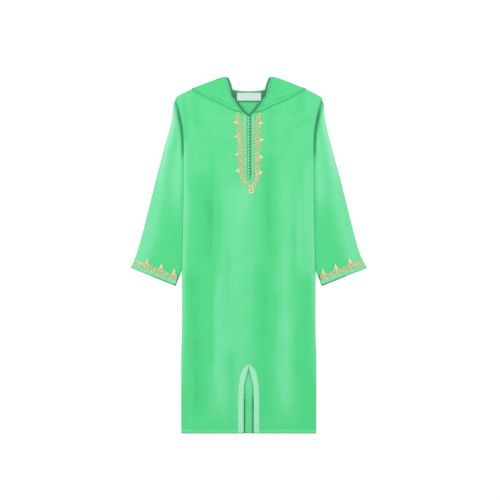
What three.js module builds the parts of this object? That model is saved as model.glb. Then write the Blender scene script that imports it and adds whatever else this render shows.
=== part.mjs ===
// A child's djellaba, laid flat and face up: neck towards +Y, hem towards -Y. It lies on the surface z = 0.
// Every cloth piece is a thin wall. Sizes are in millimetres, and half widths count from the centre line.
import * as THREE from "three";

const { smoothstep, lerp } = THREE.MathUtils;

// ---------- driving sizes ----------
const cloth = 1.2; // one layer of cloth with its nap and seam bulk
const seam = 0.3; // between pieces that are sewn together or lie on each other
const hemY = -521;
const underLayer = 2.9; // two layers that lie under the body: a sleeve, or the hood
const backRise = underLayer + 0.4; // underside of the back panel where it lies on them
const backTop = backRise + cloth;
const frontBase = backTop + seam;
const frontTop = frontBase + cloth;
const trimThick = 0.9;

const bodySide = [
  { y: -521, half: 196.5 },
  { y: -400, half: 197 },
  { y: -290, half: 196.8 },
  { y: -240, half: 194.8 },
  { y: -44, half: 194.2 },
  { y: 60, half: 192 },
  { y: 200, half: 190 },
  { y: 317, half: 190 },
  { y: 361, half: 193 },
  { y: 409, half: 202 },
  { y: 442, half: 210.5 },
  { y: 458, half: 214.5 },
];
const shoulder = [
  { x: 162, y: 484 },
  { x: 175, y: 480 },
  { x: 195, y: 470 },
  { x: 208, y: 462.5 },
  { x: 214.5, y: 457 },
];
// top edge of the front: the V, then the neckline under the hood, then the shoulder
const frontEdge = [
  { x: 0, y: 403.5 },
  { x: 8, y: 410.3 },
  { x: 16, y: 417.2 },
  { x: 26, y: 422 },
  { x: 44, y: 429.5 },
  { x: 61, y: 438.5 },
  { x: 89, y: 450.5 },
  { x: 122, y: 465 },
  { x: 150, y: 479.5 },
  ...shoulder,
];
const backEdge = [
  { x: 0, y: 447 },
  { x: 68, y: 448.9 },
  { x: 88, y: 455 },
  { x: 120, y: 467 },
  { x: 150, y: 479.5 },
  ...shoulder,
];

// soft ridges that run down the front: where each is at full height, the width of its slopes, its two ends
const bodyFolds = [
  { left: -84, leftSlope: 34, right: -2, rightSlope: 40, rise: 2.8, topY: 262, endY: -505, lean: -12 },
  { left: 98, leftSlope: 32, right: 122, rightSlope: 42, rise: 2.4, topY: 214, endY: -508, lean: 2 },
];
const foldFade = 130;

const hemSlit = [
  { y: -521, half: 14 },
  { y: -424, half: 14 },
  { y: -380, half: 13 },
  { y: -351, half: 3.4 },
  { y: -333, half: 1 },
];
const hemSlitTop = -333;
const placket = { bottomY: 223.7, left: 4.6, right: 6.6 };

// ---------- small helpers ----------
// The value column at a key, on a smooth curve through the rows.
function along(table, key, value, at) {
  const last = table.length - 1;
  if (at <= table[0][key]) return table[0][value];
  if (at >= table[last][key]) return table[last][value];
  const i = table.findIndex((row) => row[key] > at) - 1;
  const slope = (a, b) => (table[b][value] - table[a][value]) / (table[b][key] - table[a][key]);
  const step = table[i + 1][key] - table[i][key];
  const t = (at - table[i][key]) / step;
  const leave = i > 0 ? slope(i - 1, i + 1) : slope(i, i + 1);
  const arrive = i + 2 <= last ? slope(i, i + 2) : slope(i, i + 1);
  const h = t * t * (3 - 2 * t);
  const bend = (t ** 3 - 2 * t * t + t) * leave + (t ** 3 - t * t) * arrive;
  return lerp(table[i][value], table[i + 1][value], h) + bend * step;
}

// The value column at a key, on straight lines between the rows.
function straight(table, key, value, at) {
  const last = table.length - 1;
  const i = Math.max(0, Math.min(last - 1, table.findIndex((row) => row[key] > at) - 1));
  const row = at >= table[last][key] ? last - 1 : i;
  const t = (at - table[row][key]) / (table[row + 1][key] - table[row][key]);
  return lerp(table[row][value], table[row + 1][value], Math.max(0, Math.min(1, t)));
}

const spaced = (from, to, count) => Array.from({ length: count + 1 }, (_, i) => lerp(from, to, i / count));

// A closed wall between two grids of points, with the same rows and columns. A cell can be left out, and a
// round wall closes on itself along its rows.
function wall(outer, inner, { keep = () => true, round = false } = {}) {
  const rows = outer.length;
  const columns = outer[0].length;
  const cells = round ? columns : columns - 1;
  const points = [...outer.flat(), ...inner.flat()];
  const at = (row, column, side) => (side * rows + row) * columns + (column % columns);
  const kept = (row, column) => {
    const turned = round ? (column + columns) % columns : column;
    return row >= 0 && row < rows - 1 && turned >= 0 && turned < cells && keep(row, turned);
  };
  const index = [];
  const face = (a, b, c, d) => index.push(a, b, c, a, c, d);
  for (let r = 0; r < rows - 1; r++) {
    for (let c = 0; c < cells; c++) {
      if (!kept(r, c)) continue;
      face(at(r, c, 0), at(r, c + 1, 0), at(r + 1, c + 1, 0), at(r + 1, c, 0));
      face(at(r + 1, c + 1, 1), at(r, c + 1, 1), at(r, c, 1), at(r + 1, c, 1));
      const rim = (r1, c1, r2, c2) => face(at(r2, c2, 0), at(r1, c1, 0), at(r1, c1, 1), at(r2, c2, 1));
      if (!kept(r - 1, c)) rim(r, c, r, c + 1);
      if (!kept(r, c + 1)) rim(r, c + 1, r + 1, c + 1);
      if (!kept(r + 1, c)) rim(r + 1, c + 1, r + 1, c);
      if (!kept(r, c - 1)) rim(r + 1, c, r, c);
    }
  }
  const used = new Map();
  const position = [];
  const packed = index.map((i) => {
    if (!used.has(i)) {
      used.set(i, used.size);
      position.push(points[i].x, points[i].y, points[i].z);
    }
    return used.get(i);
  });
  return closed(position, packed);
}

// A geometry from positions and triangles, with its faces turned outwards.
function closed(position, index) {
  let volume = 0;
  const corner = (i) => new THREE.Vector3().fromArray(position, 3 * i);
  for (let i = 0; i < index.length; i += 3) {
    const [a, b, c] = [corner(index[i]), corner(index[i + 1]), corner(index[i + 2])];
    volume += a.dot(b.cross(c));
  }
  const geometry = new THREE.BufferGeometry();
  geometry.setAttribute("position", new THREE.Float32BufferAttribute(position, 3));
  geometry.setIndex(volume < 0 ? index.reverse() : index);
  geometry.computeVertexNormals();
  return geometry;
}

// A thin trim on a panel: its plan as rows of points, raised from the panel's top.
function trim(plan, top, thick = trimThick) {
  const raised = (by) => plan.map((row) => row.map((p) => new THREE.Vector3(p.x, p.y, top(p.x, p.y) + by)));
  return wall(raised(seam + thick), raised(seam));
}

// ---------- colours ----------
function finish(color, roughness, metalness = 0) {
  return new THREE.MeshStandardMaterial({ color, roughness, metalness });
}
const mint = () => finish(0x5fde91, 0.62);
const paleBraid = () => finish(0x9feab9, 0.5);
const goldThread = () => finish(0xd9c58b, 0.42, 0.3);
const buttonCord = () => finish(0x8fe6ae, 0.5);
const whiteSatin = () => finish(0xf4f6f5, 0.45);

const garment = new THREE.Group();
garment.name = "djellaba";
function sew(name, geometry, material) {
  const piece = new THREE.Mesh(geometry, material);
  piece.name = name;
  garment.add(piece);
}

// ---------- sleeves ----------
// rings from the cuff to the armhole: the outer and the inner edge of the flat tube
const sleeveRings = [
  { fromHem: 0, outX: 345, outY: -36.6, inX: 213.7, inY: -90, rightBy: 0 },
  { fromHem: 14, outX: 338.6, outY: -24, inX: 208.2, inY: -75, rightBy: 1 },
  { fromHem: 45, outX: 326, outY: 8, inX: 196, inY: -45, rightBy: 3 },
  { fromHem: 90, outX: 314.5, outY: 48, inX: 178, inY: -2, rightBy: 3 },
  { fromHem: 140, outX: 302, outY: 95, inX: 168, inY: 42, rightBy: 3 },
  { fromHem: 190, outX: 290, outY: 143, inX: 162, inY: 88, rightBy: 3 },
  { fromHem: 240, outX: 278, outY: 192, inX: 160, inY: 130, rightBy: 3 },
  { fromHem: 290, outX: 266, outY: 240, inX: 160, inY: 168, rightBy: 3.5 },
  { fromHem: 340, outX: 253, outY: 288, inX: 162, inY: 200, rightBy: 4 },
  { fromHem: 385, outX: 241.5, outY: 332, inX: 165, inY: 228, rightBy: 4 },
  { fromHem: 425, outX: 230.5, outY: 368, inX: 168, inY: 250, rightBy: 2 },
  { fromHem: 470, outX: 222.2, outY: 405, inX: 170, inY: 268, rightBy: 1 },
  { fromHem: 502, outX: 219.6, outY: 440, inX: 169, inY: 280, rightBy: 0 },
  { fromHem: 520, outX: 211.5, outY: 457, inX: 161, inY: 294, rightBy: 0 },
];
const tubeEdge = underLayer / 2;
// ridges along the sleeve: place across it from the outer to the inner edge, half width, rise
const sleeveFolds = [
  { across: 0.16, width: 0.13, rise: 2.2 },
  { across: 0.62, width: 0.16, rise: 1.3 },
];
const sleeveClear = { start: 6, end: 34 }; // from the body's edge to where the ridges are at full height
// points round a sleeve, as shares of its width, over it and back under it
const sleeveOver = [0.02, 0.08, 0.16, 0.25, 0.36, 0.5, 0.62, 0.75, 0.88, 0.98];
const sleeveUnder = [0.98, 0.74, 0.5, 0.26, 0.02];
const sleeveInset = 0.0095; // share of the width that one layer takes at a folded edge

function sleeveTopZ(x, y, across) {
  const fromBody = Math.abs(x) - along(bodySide, "y", "half", y);
  const clear = smoothstep(fromBody, sleeveClear.start, sleeveClear.end);
  const ridge = (fold) => fold.rise * Math.exp(-(((across - fold.across) / fold.width) ** 2));
  return underLayer + clear * sleeveFolds.reduce((sum, fold) => sum + ridge(fold), 0);
}

// A point on a sleeve's upper side: distance from the cuff's hem, 0 to 1 from the outer to the inner edge.
function sleeveAt(side, fromHem, across) {
  const edge = (column) => along(sleeveRings, "fromHem", column, fromHem);
  const outX = edge("outX") - (side > 0 ? edge("rightBy") : 0);
  const x = side * lerp(outX, edge("inX"), across);
  const y = lerp(edge("outY"), edge("inY"), across);
  return new THREE.Vector3(x, y, sleeveTopZ(x, y, across));
}

function sleeve(side) {
  const ring = (fromHem, layer) => {
    const narrow = (across) => lerp(sleeveInset * layer, 1 - sleeveInset * layer, across);
    const at = (across, height) => {
      const p = sleeveAt(side, fromHem, narrow(across));
      return p.setZ(height(p.z));
    };
    const upper = sleeveOver.map((across) => at(across, (z) => z - cloth * layer));
    const lower = sleeveUnder.map((across) => at(across, () => cloth * layer));
    return [...upper, at(1, () => tubeEdge), ...lower, at(0, () => tubeEdge)];
  };
  const stations = sleeveRings.map((row) => row.fromHem);
  const outside = stations.map((fromHem) => ring(fromHem, 0));
  const inside = stations.map((fromHem) => ring(fromHem, 1));
  return wall(outside, inside, { round: true });
}

// ---------- what lies under the body, and the panels' heights ----------
const armholeRing = sleeveRings.at(-1);
const tucked = sleeveRings.map((row) => ({ y: row.inY, x: row.inX }));
tucked.push({ y: armholeRing.outY, x: armholeRing.outX });
// lower edge of the hood where it hangs behind the back
const hoodEdge = [
  { x: 0, y: 225 },
  { x: 30, y: 258 },
  { x: 75, y: 340 },
  { x: 120, y: 420 },
  { x: 150, y: 468 },
  { x: 170, y: 500 },
];
const hoodSlant = 0.52; // height above that edge times this is the distance from it
const drape = { start: 10, end: 62 }; // from a covered edge to where the panel is down again
const sleeveEnd = { startY: -50, endY: -115 };

// Underside of the back panel: it lies on the surface, and rises over the sleeves and the hood.
function backUnder(x, y) {
  const reach = Math.abs(x);
  const fromHood = hoodSlant * (along(hoodEdge, "x", "y", reach) - y);
  const fromSleeve = straight(tucked, "y", "x", y) - reach;
  const offHood = smoothstep(fromHood, drape.start, drape.end);
  const besideCuff = smoothstep(y, sleeveEnd.endY, sleeveEnd.startY);
  const onSleeve = besideCuff * (1 - smoothstep(fromSleeve, drape.start, drape.end));
  return backRise * (1 - offHood * (1 - onSleeve));
}

function foldRise(x, y) {
  return bodyFolds.reduce((sum, fold) => {
    const shifted = x - (fold.lean * (fold.topY - y)) / 1000;
    const across =
      smoothstep(shifted, fold.left - fold.leftSlope, fold.left) *
      (1 - smoothstep(shifted, fold.right, fold.right + fold.rightSlope));
    const fromHem = smoothstep(y, fold.endY, fold.endY + foldFade);
    const fromTop = 1 - smoothstep(y, fold.topY - foldFade, fold.topY);
    return sum + fold.rise * across * fromHem * fromTop;
  }, 0);
}

// how far the front lies off the back, and how far in from each edge that begins and is full
const loose = { rise: 0.7, start: 5, full: 60, topStart: 8, topFull: 45 };
const slitLift = { rise: 1.8, width: 34, fade: 40 };

// Underside of the front panel, above the back panel's top.
function frontUnder(x, y) {
  const inside =
    smoothstep(along(bodySide, "y", "half", y) - Math.abs(x), loose.start, loose.full) *
    smoothstep(y - hemY, loose.start, loose.full) *
    smoothstep(straight(frontEdge, "x", "y", Math.abs(x)) - y, loose.topStart, loose.topFull);
  const beside = 1 - smoothstep(Math.abs(x) - straight(hemSlit, "y", "half", y), 0, slitLift.width);
  const slitRise =
    slitLift.rise *
    beside *
    (1 - smoothstep(y, hemSlitTop - slitLift.fade, hemSlitTop + slitLift.fade)) *
    smoothstep(y - hemY, 0, slitLift.fade);
  return backUnder(x, y) + cloth + seam + loose.rise * inside + Math.max(foldRise(x, y), slitRise);
}
const onFront = (x, y) => frontUnder(x, y) + cloth;

// ---------- front and back ----------
// columns as shares of the way from the slit to the side edge, rows as heights on the centre line
const columnShares = [0, 0.0236, 0.085, 0.16, 0.245, 0.34, 0.435, 0.53, 0.63, 0.73, 0.83, 0.92, 1];
const rowHeights = [
  hemY,
  -508,
  -466,
  -424,
  -401,
  -380,
  -365,
  -351,
  hemSlitTop,
  ...spaced(-297, placket.bottomY, 12),
  260,
  298,
  336,
  370,
  403.5,
];

const slitEdge = (y, side) => {
  if (y <= hemSlitTop) return side * straight(hemSlit, "y", "half", y);
  const top = side < 0 ? placket.left : placket.right;
  return lerp(side, top, Math.min(1, (y - hemSlitTop) / (placket.bottomY - hemSlitTop)));
};

// The plan of a body panel: its columns follow the slits and the side edges, its rows end on its top edge.
function panelPlan(edge) {
  const full = rowHeights.at(-1) - hemY;
  return rowHeights.map((height) => {
    const share = (height - hemY) / full;
    const half = along(bodySide, "y", "half", lerp(hemY, bodySide.at(-1).y, share));
    const from = (side, part) => lerp(slitEdge(height, side), side * half, part);
    const left = columnShares.map((part) => from(-1, part)).reverse();
    const right = columnShares.map((part) => from(1, part));
    return [...left, ...right].map((x) => {
      const top = straight(edge, "x", "y", Math.abs(x));
      return new THREE.Vector2(x, lerp(hemY, top, share));
    });
  });
}

function panel(edge, under, keep) {
  const plan = panelPlan(edge);
  const lifted = (p, by) => new THREE.Vector3(p.x, p.y, under(p.x, p.y) + by);
  const raised = (by) => plan.map((row) => row.map((p) => lifted(p, by)));
  return wall(raised(cloth), raised(0), { keep });
}

const slitColumn = columnShares.length - 1;
const inSlit = (row, column) => {
  const middle = (rowHeights[row] + rowHeights[row + 1]) / 2;
  return column === slitColumn && (middle < hemSlitTop || middle > placket.bottomY);
};

// ---------- hood ----------
// half of the hood, as it shows on the left: where it is sewn to the front, the fold over the shoulder, and
// the edge round the face
const curve = (rows) => new THREE.CatmullRomCurve3(rows.map(([x, y]) => new THREE.Vector3(x, y, 0)));
const neckSeam = curve([
  [-159, 482.4],
  [-150, 476.4],
  [-122.5, 459.5],
  [-88.9, 443.5],
  [-60.8, 431],
  [-44.2, 422],
  [-30, 417.6],
  [-15.5, 416.5],
]);
const shoulderFold = curve([
  [-166, 487.6],
  [-154, 490.8],
  [-133.6, 498.8],
  [-101.5, 511.1],
  [-83.9, 517.5],
  [-69.3, 520.8],
  [-61.5, 519.5],
]);
const faceEdge = curve([
  [-15.5, 416.5],
  [-25.7, 429.8],
  [-36.6, 443.8],
  [-41, 453.2],
  [-45.9, 467.8],
  [-52.3, 497.1],
  [-57.3, 510.5],
  [-61.5, 519.5],
]);
// rise of the hood above what it lies on, by distance from the neck seam
const seamRoll = [
  { from: 0, rise: 0 },
  { from: 3.5, rise: 1.3 },
  { from: 7.5, rise: 2.2 },
  { from: 12, rise: 1.3 },
  { from: 17, rise: 0.2 },
  { from: 27, rise: 0.9 },
  { from: 60, rise: 0 },
];
const rollFull = 75; // a column of the hood shorter than this has its roll drawn in
const rollLeast = 0.35; // share of the roll's rise that the shortest column keeps
const faceLift = { rise: 1.3, start: 0.8 };
const hoodClear = seam + 0.1;
const hoodBase = { onFront: frontTop + hoodClear, onBack: backTop + hoodClear };
const neckDrop = { start: 3, end: 16 }; // from the neckline to where the hood is down on the back
const layerStep = 3; // how far the lower layer of the hood reaches past the upper one
const nearSeam = [0, 3.5, 7.5, 12, 17, 27]; // rows of points over the roll
const leastRow = 0.6; // the last row before the fold is at least this share of the way to it
const sideColumns = [0, 0.1, 0.21, 0.33, 0.46, 0.59, 0.72, 0.84]; // from the shoulder to the braid
const middleColumns = [-1, -0.8, -0.55, -0.28, 0, 0.28, 0.55, 0.8, 1];
const hangRows = [0.2, 0.45, 0.72]; // shares of the way from the fold to the hood's lower edge
const hoodEdgeEnds = { shoulder: 158, point: 1 }; // where the hood's lower edge begins and ends
const middle = { half: 50, endHalf: 4.4, endY: 250 };
// the fold at the back of the neck
const backFold = [
  { x: 0, y: 478.7 },
  { x: 20, y: 479.3 },
  { x: 35, y: 481.2 },
  { x: 45, y: 483.8 },
  { x: 50, y: 485 },
];
const braidColumns = [0.94, 0.97, 1]; // the braid lies from the first of these to just inside the face edge

// A point on the hood's upper side: 0 to 1 from the shoulder to the face edge, and from seam to fold.
function hoodAt(towardsFace, share) {
  const low = neckSeam.getPointAt(towardsFace);
  const fold = shoulderFold.getPointAt(towardsFace);
  const edge = faceEdge.getPointAt(share);
  const chord = faceEdge.getPointAt(0).lerp(faceEdge.getPointAt(1), share);
  const p = low.clone().lerp(fold, share).addScaledVector(edge.sub(chord), towardsFace ** 2);
  const length = low.distanceTo(fold);
  const fromSeam = (share * length) / Math.min(1, length / rollFull);
  const fromNeck = p.y - straight(frontEdge, "x", "y", Math.abs(p.x));
  const drop = smoothstep(fromNeck, neckDrop.start, neckDrop.end);
  const roll = along(seamRoll, "from", "rise", fromSeam) * Math.min(1, rollLeast + length / rollFull);
  const base = lerp(hoodBase.onFront, hoodBase.onBack, drop);
  const lift = faceLift.rise * smoothstep(towardsFace, faceLift.start, 1);
  return p.setZ(base + roll + lift + cloth);
}

// Where the hood's rows of points lie between the neck seam and the fold: closer over the roll.
function hoodRows(towardsFace) {
  const length = neckSeam.getPointAt(towardsFace).distanceTo(shoulderFold.getPointAt(towardsFace));
  const drawn = Math.min(1, length / rollFull);
  const shares = nearSeam.map((mm) => (mm * drawn) / length);
  const radius = hoodAt(towardsFace, 1).z / 2;
  const last = Math.max(leastRow, 1 - radius / length);
  return [...shares, ...spaced(shares.at(-1), last, 3).slice(1)];
}

// Half of the hood: it rises from the neck seam over the shoulder, folds under, and hangs behind the back.
function hoodSide() {
  const columns = [...sideColumns, ...braidColumns];
  const turns = [0.25, 0.5, 0.75, 1];
  const outside = [];
  const inside = [];
  for (const towardsFace of columns) {
    const top = hoodAt(towardsFace, 1);
    const radius = top.z / 2;
    const tangent = shoulderFold.getTangentAt(Math.min(towardsFace, braidColumns[1]));
    const out = new THREE.Vector3(-tangent.y, tangent.x, 0);
    const turned = (turn, r) => {
      const angle = Math.PI * turn;
      const p = top.clone().addScaledVector(out, r * Math.sin(angle) - radius);
      return p.setZ(radius + r * Math.cos(angle));
    };
    const upper = hoodRows(towardsFace).map((share) => hoodAt(towardsFace, share));
    const folded = turned(1, radius);
    const x = lerp(hoodEdgeEnds.shoulder, hoodEdgeEnds.point, towardsFace);
    const end = new THREE.Vector3(-x, along(hoodEdge, "x", "y", x), 0);
    outside.push([...upper, ...turns.map((turn) => turned(turn, radius)), ...hanging(folded, end, 0)]);
    const lower = upper.map((p) => p.clone().setZ(p.z - cloth));
    const innerTurns = turns.map((turn) => turned(turn, radius - cloth));
    inside.push([...lower, ...innerTurns, ...hanging(folded, end, 1)]);
  }
  return wall(outside, inside);
}

// The two layers that hang behind the back, from a fold to the hood's edge, as their lower or upper points.
// The lower layer ends a little further out than the upper one.
function hanging(fold, end, upper) {
  const step = fold.clone().sub(end).setLength(layerStep);
  const down = hangRows.map((share) => fold.clone().lerp(end, share).setZ(upper * underLayer));
  const past = (steps, z) => end.clone().addScaledVector(step, steps).setZ(z);
  if (upper) return [...down, past(1, underLayer), past(1, underLayer / 2), past(0, underLayer / 2)];
  return [...down, past(2, 0), past(0.6, 0), past(0, 0)];
}

// The hood's middle panel: from the back of the neck up to a fold, then behind the back to the hood's point.
function hoodMiddle() {
  const radius = backTop / 2;
  const gap = (backRise - underLayer) / 2;
  const turns = [0.25, 0.5, 0.75];
  const outside = [];
  const inside = [];
  for (const share of middleColumns) {
    const x = share * middle.half;
    const at = (y, z) => new THREE.Vector3(x, y, z);
    const start = straight(backEdge, "x", "y", Math.abs(x)) + seam;
    const bend = straight(backFold, "x", "y", Math.abs(x)) - radius;
    const turned = (turn, r, z) => at(bend + r * Math.sin(Math.PI * turn), z + r * Math.cos(Math.PI * turn));
    const strip = [start, (start + bend) / 2, bend];
    const end = new THREE.Vector3(share * middle.endHalf, middle.endY, 0);
    outside.push([
      ...strip.map((y) => at(y, backTop)),
      ...turns.map((turn) => turned(turn, radius, radius)),
      at(bend, 0),
      ...hanging(at(bend, 0), end, 0),
    ]);
    inside.push([
      ...strip.map((y) => at(y, backRise)),
      ...turns.map((turn) => turned(turn, gap, underLayer + gap)),
      at(bend, underLayer),
      ...hanging(at(bend, 0), end, 1),
    ]);
  }
  return wall(outside, inside);
}

// ---------- trims ----------
const braid = { leftIn: -4.4, rightIn: 7.2, bottomY: 223.7, topY: 411, rightPoint: 7, rows: 12 };
const vClear = 2.4; // from the placket braids to the V
const braidInset = 0.006; // from the face edge, as a share of the way from the shoulder
// the placket braids narrow beside the gold arms
const braidOuterLeft = [
  { y: 223, x: -10 },
  { y: 234, x: -13 },
  { y: 263, x: -14.2 },
  { y: 307, x: -16.8 },
  { y: 411, x: -17.3 },
];
const braidOuterRight = [
  { y: 223, x: 13.5 },
  { y: 240, x: 17 },
  { y: 263, x: 17.4 },
  { y: 330, x: 16.6 },
  { y: 411, x: 18 },
];

// The strip along the hood's face edge.
function hoodBraid() {
  const raised = (by) =>
    braidColumns.map((across) => {
      const inner = Math.min(across, 1 - braidInset);
      return hoodRows(across)
        .slice(1)
        .map((share) => {
          const p = hoodAt(inner, share);
          return p.setZ(p.z + by);
        });
    });
  return wall(raised(seam + trimThick), raised(seam));
}

// A strip beside the placket, from its lower end up to the V: the inner edge, and the outer edge by height.
function placketBraid(inner, outerAt, ends) {
  const plan = spaced(0, 1, braid.rows).map((share) =>
    [0, 0.5, 1].map((across) => {
      const low = lerp(ends.inner, ends.outer, across);
      const reach = lerp(inner, outerAt(braid.topY), across);
      const top = Math.min(straight(frontEdge, "x", "y", Math.abs(reach)) - vClear, braid.topY);
      const y = lerp(low, top, share);
      return new THREE.Vector2(lerp(inner, outerAt(y), across), y);
    }),
  );
  return trim(plan, onFront);
}

// The gold arms beside the placket: centre line, half width, and the points that stick out from them.
const goldLeft = [
  { y: 199, x: 4, half: 4 },
  { y: 202.5, x: -0.5, half: 5 },
  { y: 209, x: -8.5, half: 6 },
  { y: 219, x: -15, half: 6 },
  { y: 234, x: -20, half: 6.3 },
  { y: 263, x: -21.6, half: 6.6 },
  { y: 307, x: -24, half: 6.4 },
  { y: 380, x: -26.6, half: 6.6 },
  { y: 414, x: -31, half: 5.6 },
];
const goldRight = [
  { y: 196.4, x: 11.4, half: 3.8 },
  { y: 202, x: 14, half: 4.6 },
  { y: 213, x: 19.6, half: 5 },
  { y: 225, x: 24, half: 5 },
  { y: 263, x: 25.4, half: 5.8 },
  { y: 330, x: 25.8, half: 7.2 },
  { y: 380, x: 26, half: 6.6 },
  { y: 411, x: 30.4, half: 5.4 },
];
const spike = { length: 12.5, half: 4.5 };
const spikesLeft = [246.2, 294.5, 346, 388.6];
const spikesRight = [240.6, 285.7, 337.1, 385.4];

function neckBand(arm, spikes, side) {
  const heights = arm.map((row) => row.y);
  spikes.forEach((y) => heights.push(y - spike.half, y, y + spike.half));
  heights.sort((a, b) => a - b);
  const plan = heights.map((y) => {
    const x = along(arm, "y", "x", y);
    const half = along(arm, "y", "half", y);
    const reach = spike.length * Math.max(0, ...spikes.map((tip) => 1 - Math.abs(y - tip) / spike.half));
    return [-half, 0, half + reach].map((off) => new THREE.Vector2(x + side * off, y));
  });
  return trim(plan, onFront);
}

const rosette = { x: 7.9, y: 187, outer: 8.2, inner: 3.4, sides: 20 };
function neckRosette() {
  const circle = (radius, by) =>
    spaced(0, 2 * Math.PI, rosette.sides)
      .slice(1)
      .map((angle) => {
        const x = rosette.x + radius * Math.cos(angle);
        const y = rosette.y + radius * Math.sin(angle);
        return new THREE.Vector3(x, y, onFront(x, y) + by);
      });
  const ring = (by) => [circle(rosette.inner, by), circle(rosette.outer, by)];
  return wall(ring(seam + trimThick), ring(seam), { round: true });
}

const buttons = { count: 20, topY: 398.5, pitch: 8.88, radius: 3.2, around: 8, rows: 5 };
function button(number) {
  const y = buttons.topY - number * buttons.pitch;
  const ball = new THREE.SphereGeometry(buttons.radius, buttons.around, buttons.rows);
  ball.rotateX(Math.PI / 2);
  return ball.translate(0, y, onFront(0, y) + seam + buttons.radius);
}

const hemArch = [
  { y: -519.5, inner: 14.6, outer: 31.2 },
  { y: -470, inner: 14.6, outer: 31.2 },
  { y: -424, inner: 14.6, outer: 31.2 },
  { y: -401, inner: 14.1, outer: 30.8 },
  { y: -380, inner: 13.6, outer: 29 },
  { y: -365, inner: 9.2, outer: 26.8 },
  { y: -351, inner: 4.2, outer: 24.2 },
  { y: -333, inner: 1.8, outer: 18.6 },
  { y: -325, inner: 0.4, outer: 10 },
  { y: -318, inner: 0.4, outer: 3.2 },
];
function hemBraid(side) {
  const across = [0, 0.5, 1];
  const plan = hemArch.map(({ y, inner, outer }) =>
    across.map((share) => new THREE.Vector2(side * lerp(inner, outer, share), y)),
  );
  return trim(plan, onFront);
}

// A band over the upper side of a cuff, between two distances from its hem. The upper one can have points.
function cuffBand(side, low, high, acrosses) {
  const rows = [low, (a) => (low(a) + high(a)) / 2, high];
  const raised = (by) =>
    rows.map((height) =>
      acrosses.map((across) => {
        const p = sleeveAt(side, height(across), across);
        return p.setZ(p.z + by);
      }),
    );
  return wall(raised(seam + trimThick), raised(seam));
}
const cuffBraid = { low: 1, high: 13.5 };
const cuffGold = { low: 14.4, high: 23 };
// each flame leans outwards: its tip stands over the outer end of its base
const flames = [
  { from: 0.222, tip: 0.236, to: 0.335, rise: 19 },
  { from: 0.545, tip: 0.559, to: 0.66, rise: 20 },
  { from: 0.832, tip: 0.846, to: 0.945, rise: 22 },
];
function flameHeight(across) {
  const share = ({ from, tip, to }) =>
    Math.max(0, Math.min((across - from) / (tip - from), (to - across) / (to - tip)));
  return cuffGold.high + Math.max(...flames.map((flame) => flame.rise * share(flame)));
}
const flameColumns = flames.flatMap(({ from, tip, to }) => [from, tip, to]);

const label = { left: -34.2, right: 36, low: 450.3, high: 474, thick: 0.6 };
function neckLabel() {
  const plan = [label.low, label.high].map((y) =>
    spaced(label.left, label.right, 4).map((x) => new THREE.Vector2(x, y)),
  );
  return trim(plan, () => backTop, label.thick);
}

// ---------- the garment ----------
const mirrored = (geometry) => {
  const turned = geometry.clone().applyMatrix4(new THREE.Matrix4().makeScale(-1, 1, 1));
  return closed(Array.from(turned.attributes.position.array), Array.from(turned.index.array));
};

sew("back_panel", panel(backEdge, backUnder), mint());
sew("front_panel", panel(frontEdge, frontUnder, (row, column) => !inSlit(row, column)), mint());
sew("sleeve_left", sleeve(-1), mint());
sew("sleeve_right", sleeve(1), mint());
sew("hood_left", hoodSide(), mint());
sew("hood_right", mirrored(hoodSide()), mint());
sew("hood_middle", hoodMiddle(), mint());
sew("hood_braid_left", hoodBraid(), paleBraid());
sew("hood_braid_right", mirrored(hoodBraid()), paleBraid());
const leftEnds = { inner: braid.bottomY, outer: braid.bottomY };
const leftOuter = (y) => along(braidOuterLeft, "y", "x", y);
sew("placket_braid_left", placketBraid(braid.leftIn, leftOuter, leftEnds), paleBraid());
const rightEnds = { inner: braid.bottomY - braid.rightPoint, outer: braid.bottomY };
const rightOuter = (y) => along(braidOuterRight, "y", "x", y);
sew("placket_braid_right", placketBraid(braid.rightIn, rightOuter, rightEnds), paleBraid());
sew("neck_embroidery_left", neckBand(goldLeft, spikesLeft, -1), goldThread());
sew("neck_embroidery_right", neckBand(goldRight, spikesRight, 1), goldThread());
sew("neck_rosette", neckRosette(), goldThread());
for (let number = 0; number < buttons.count; number++) {
  sew("button_" + String(number + 1).padStart(2, "0"), button(number), buttonCord());
}
sew("hem_braid_left", hemBraid(-1), paleBraid());
sew("hem_braid_right", hemBraid(1), paleBraid());
for (const [name, side] of [["left", -1], ["right", 1]]) {
  const plain = cuffBand(side, () => cuffBraid.low, () => cuffBraid.high, sleeveOver);
  sew("cuff_braid_" + name, plain, paleBraid());
  const pointed = [...sleeveOver, ...flameColumns].sort((a, b) => a - b);
  sew("cuff_embroidery_" + name, cuffBand(side, () => cuffGold.low, flameHeight, pointed), goldThread());
}
sew("neck_label", neckLabel(), whiteSatin());

export default garment;
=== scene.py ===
import math

import bpy
import numpy as np
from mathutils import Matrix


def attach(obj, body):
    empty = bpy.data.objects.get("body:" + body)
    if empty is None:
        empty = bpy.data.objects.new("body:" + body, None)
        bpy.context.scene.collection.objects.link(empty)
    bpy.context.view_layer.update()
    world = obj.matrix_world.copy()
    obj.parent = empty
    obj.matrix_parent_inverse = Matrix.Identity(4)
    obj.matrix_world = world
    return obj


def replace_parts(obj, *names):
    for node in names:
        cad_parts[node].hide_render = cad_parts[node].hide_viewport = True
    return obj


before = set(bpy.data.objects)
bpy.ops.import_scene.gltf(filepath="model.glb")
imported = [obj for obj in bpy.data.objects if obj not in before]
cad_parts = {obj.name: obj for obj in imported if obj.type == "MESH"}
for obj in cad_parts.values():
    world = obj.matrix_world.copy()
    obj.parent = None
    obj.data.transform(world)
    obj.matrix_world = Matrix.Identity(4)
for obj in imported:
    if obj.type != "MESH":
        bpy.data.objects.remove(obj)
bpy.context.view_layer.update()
mm = 0.001
sideSigns = {"left": -1, "right": 1}

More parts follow.
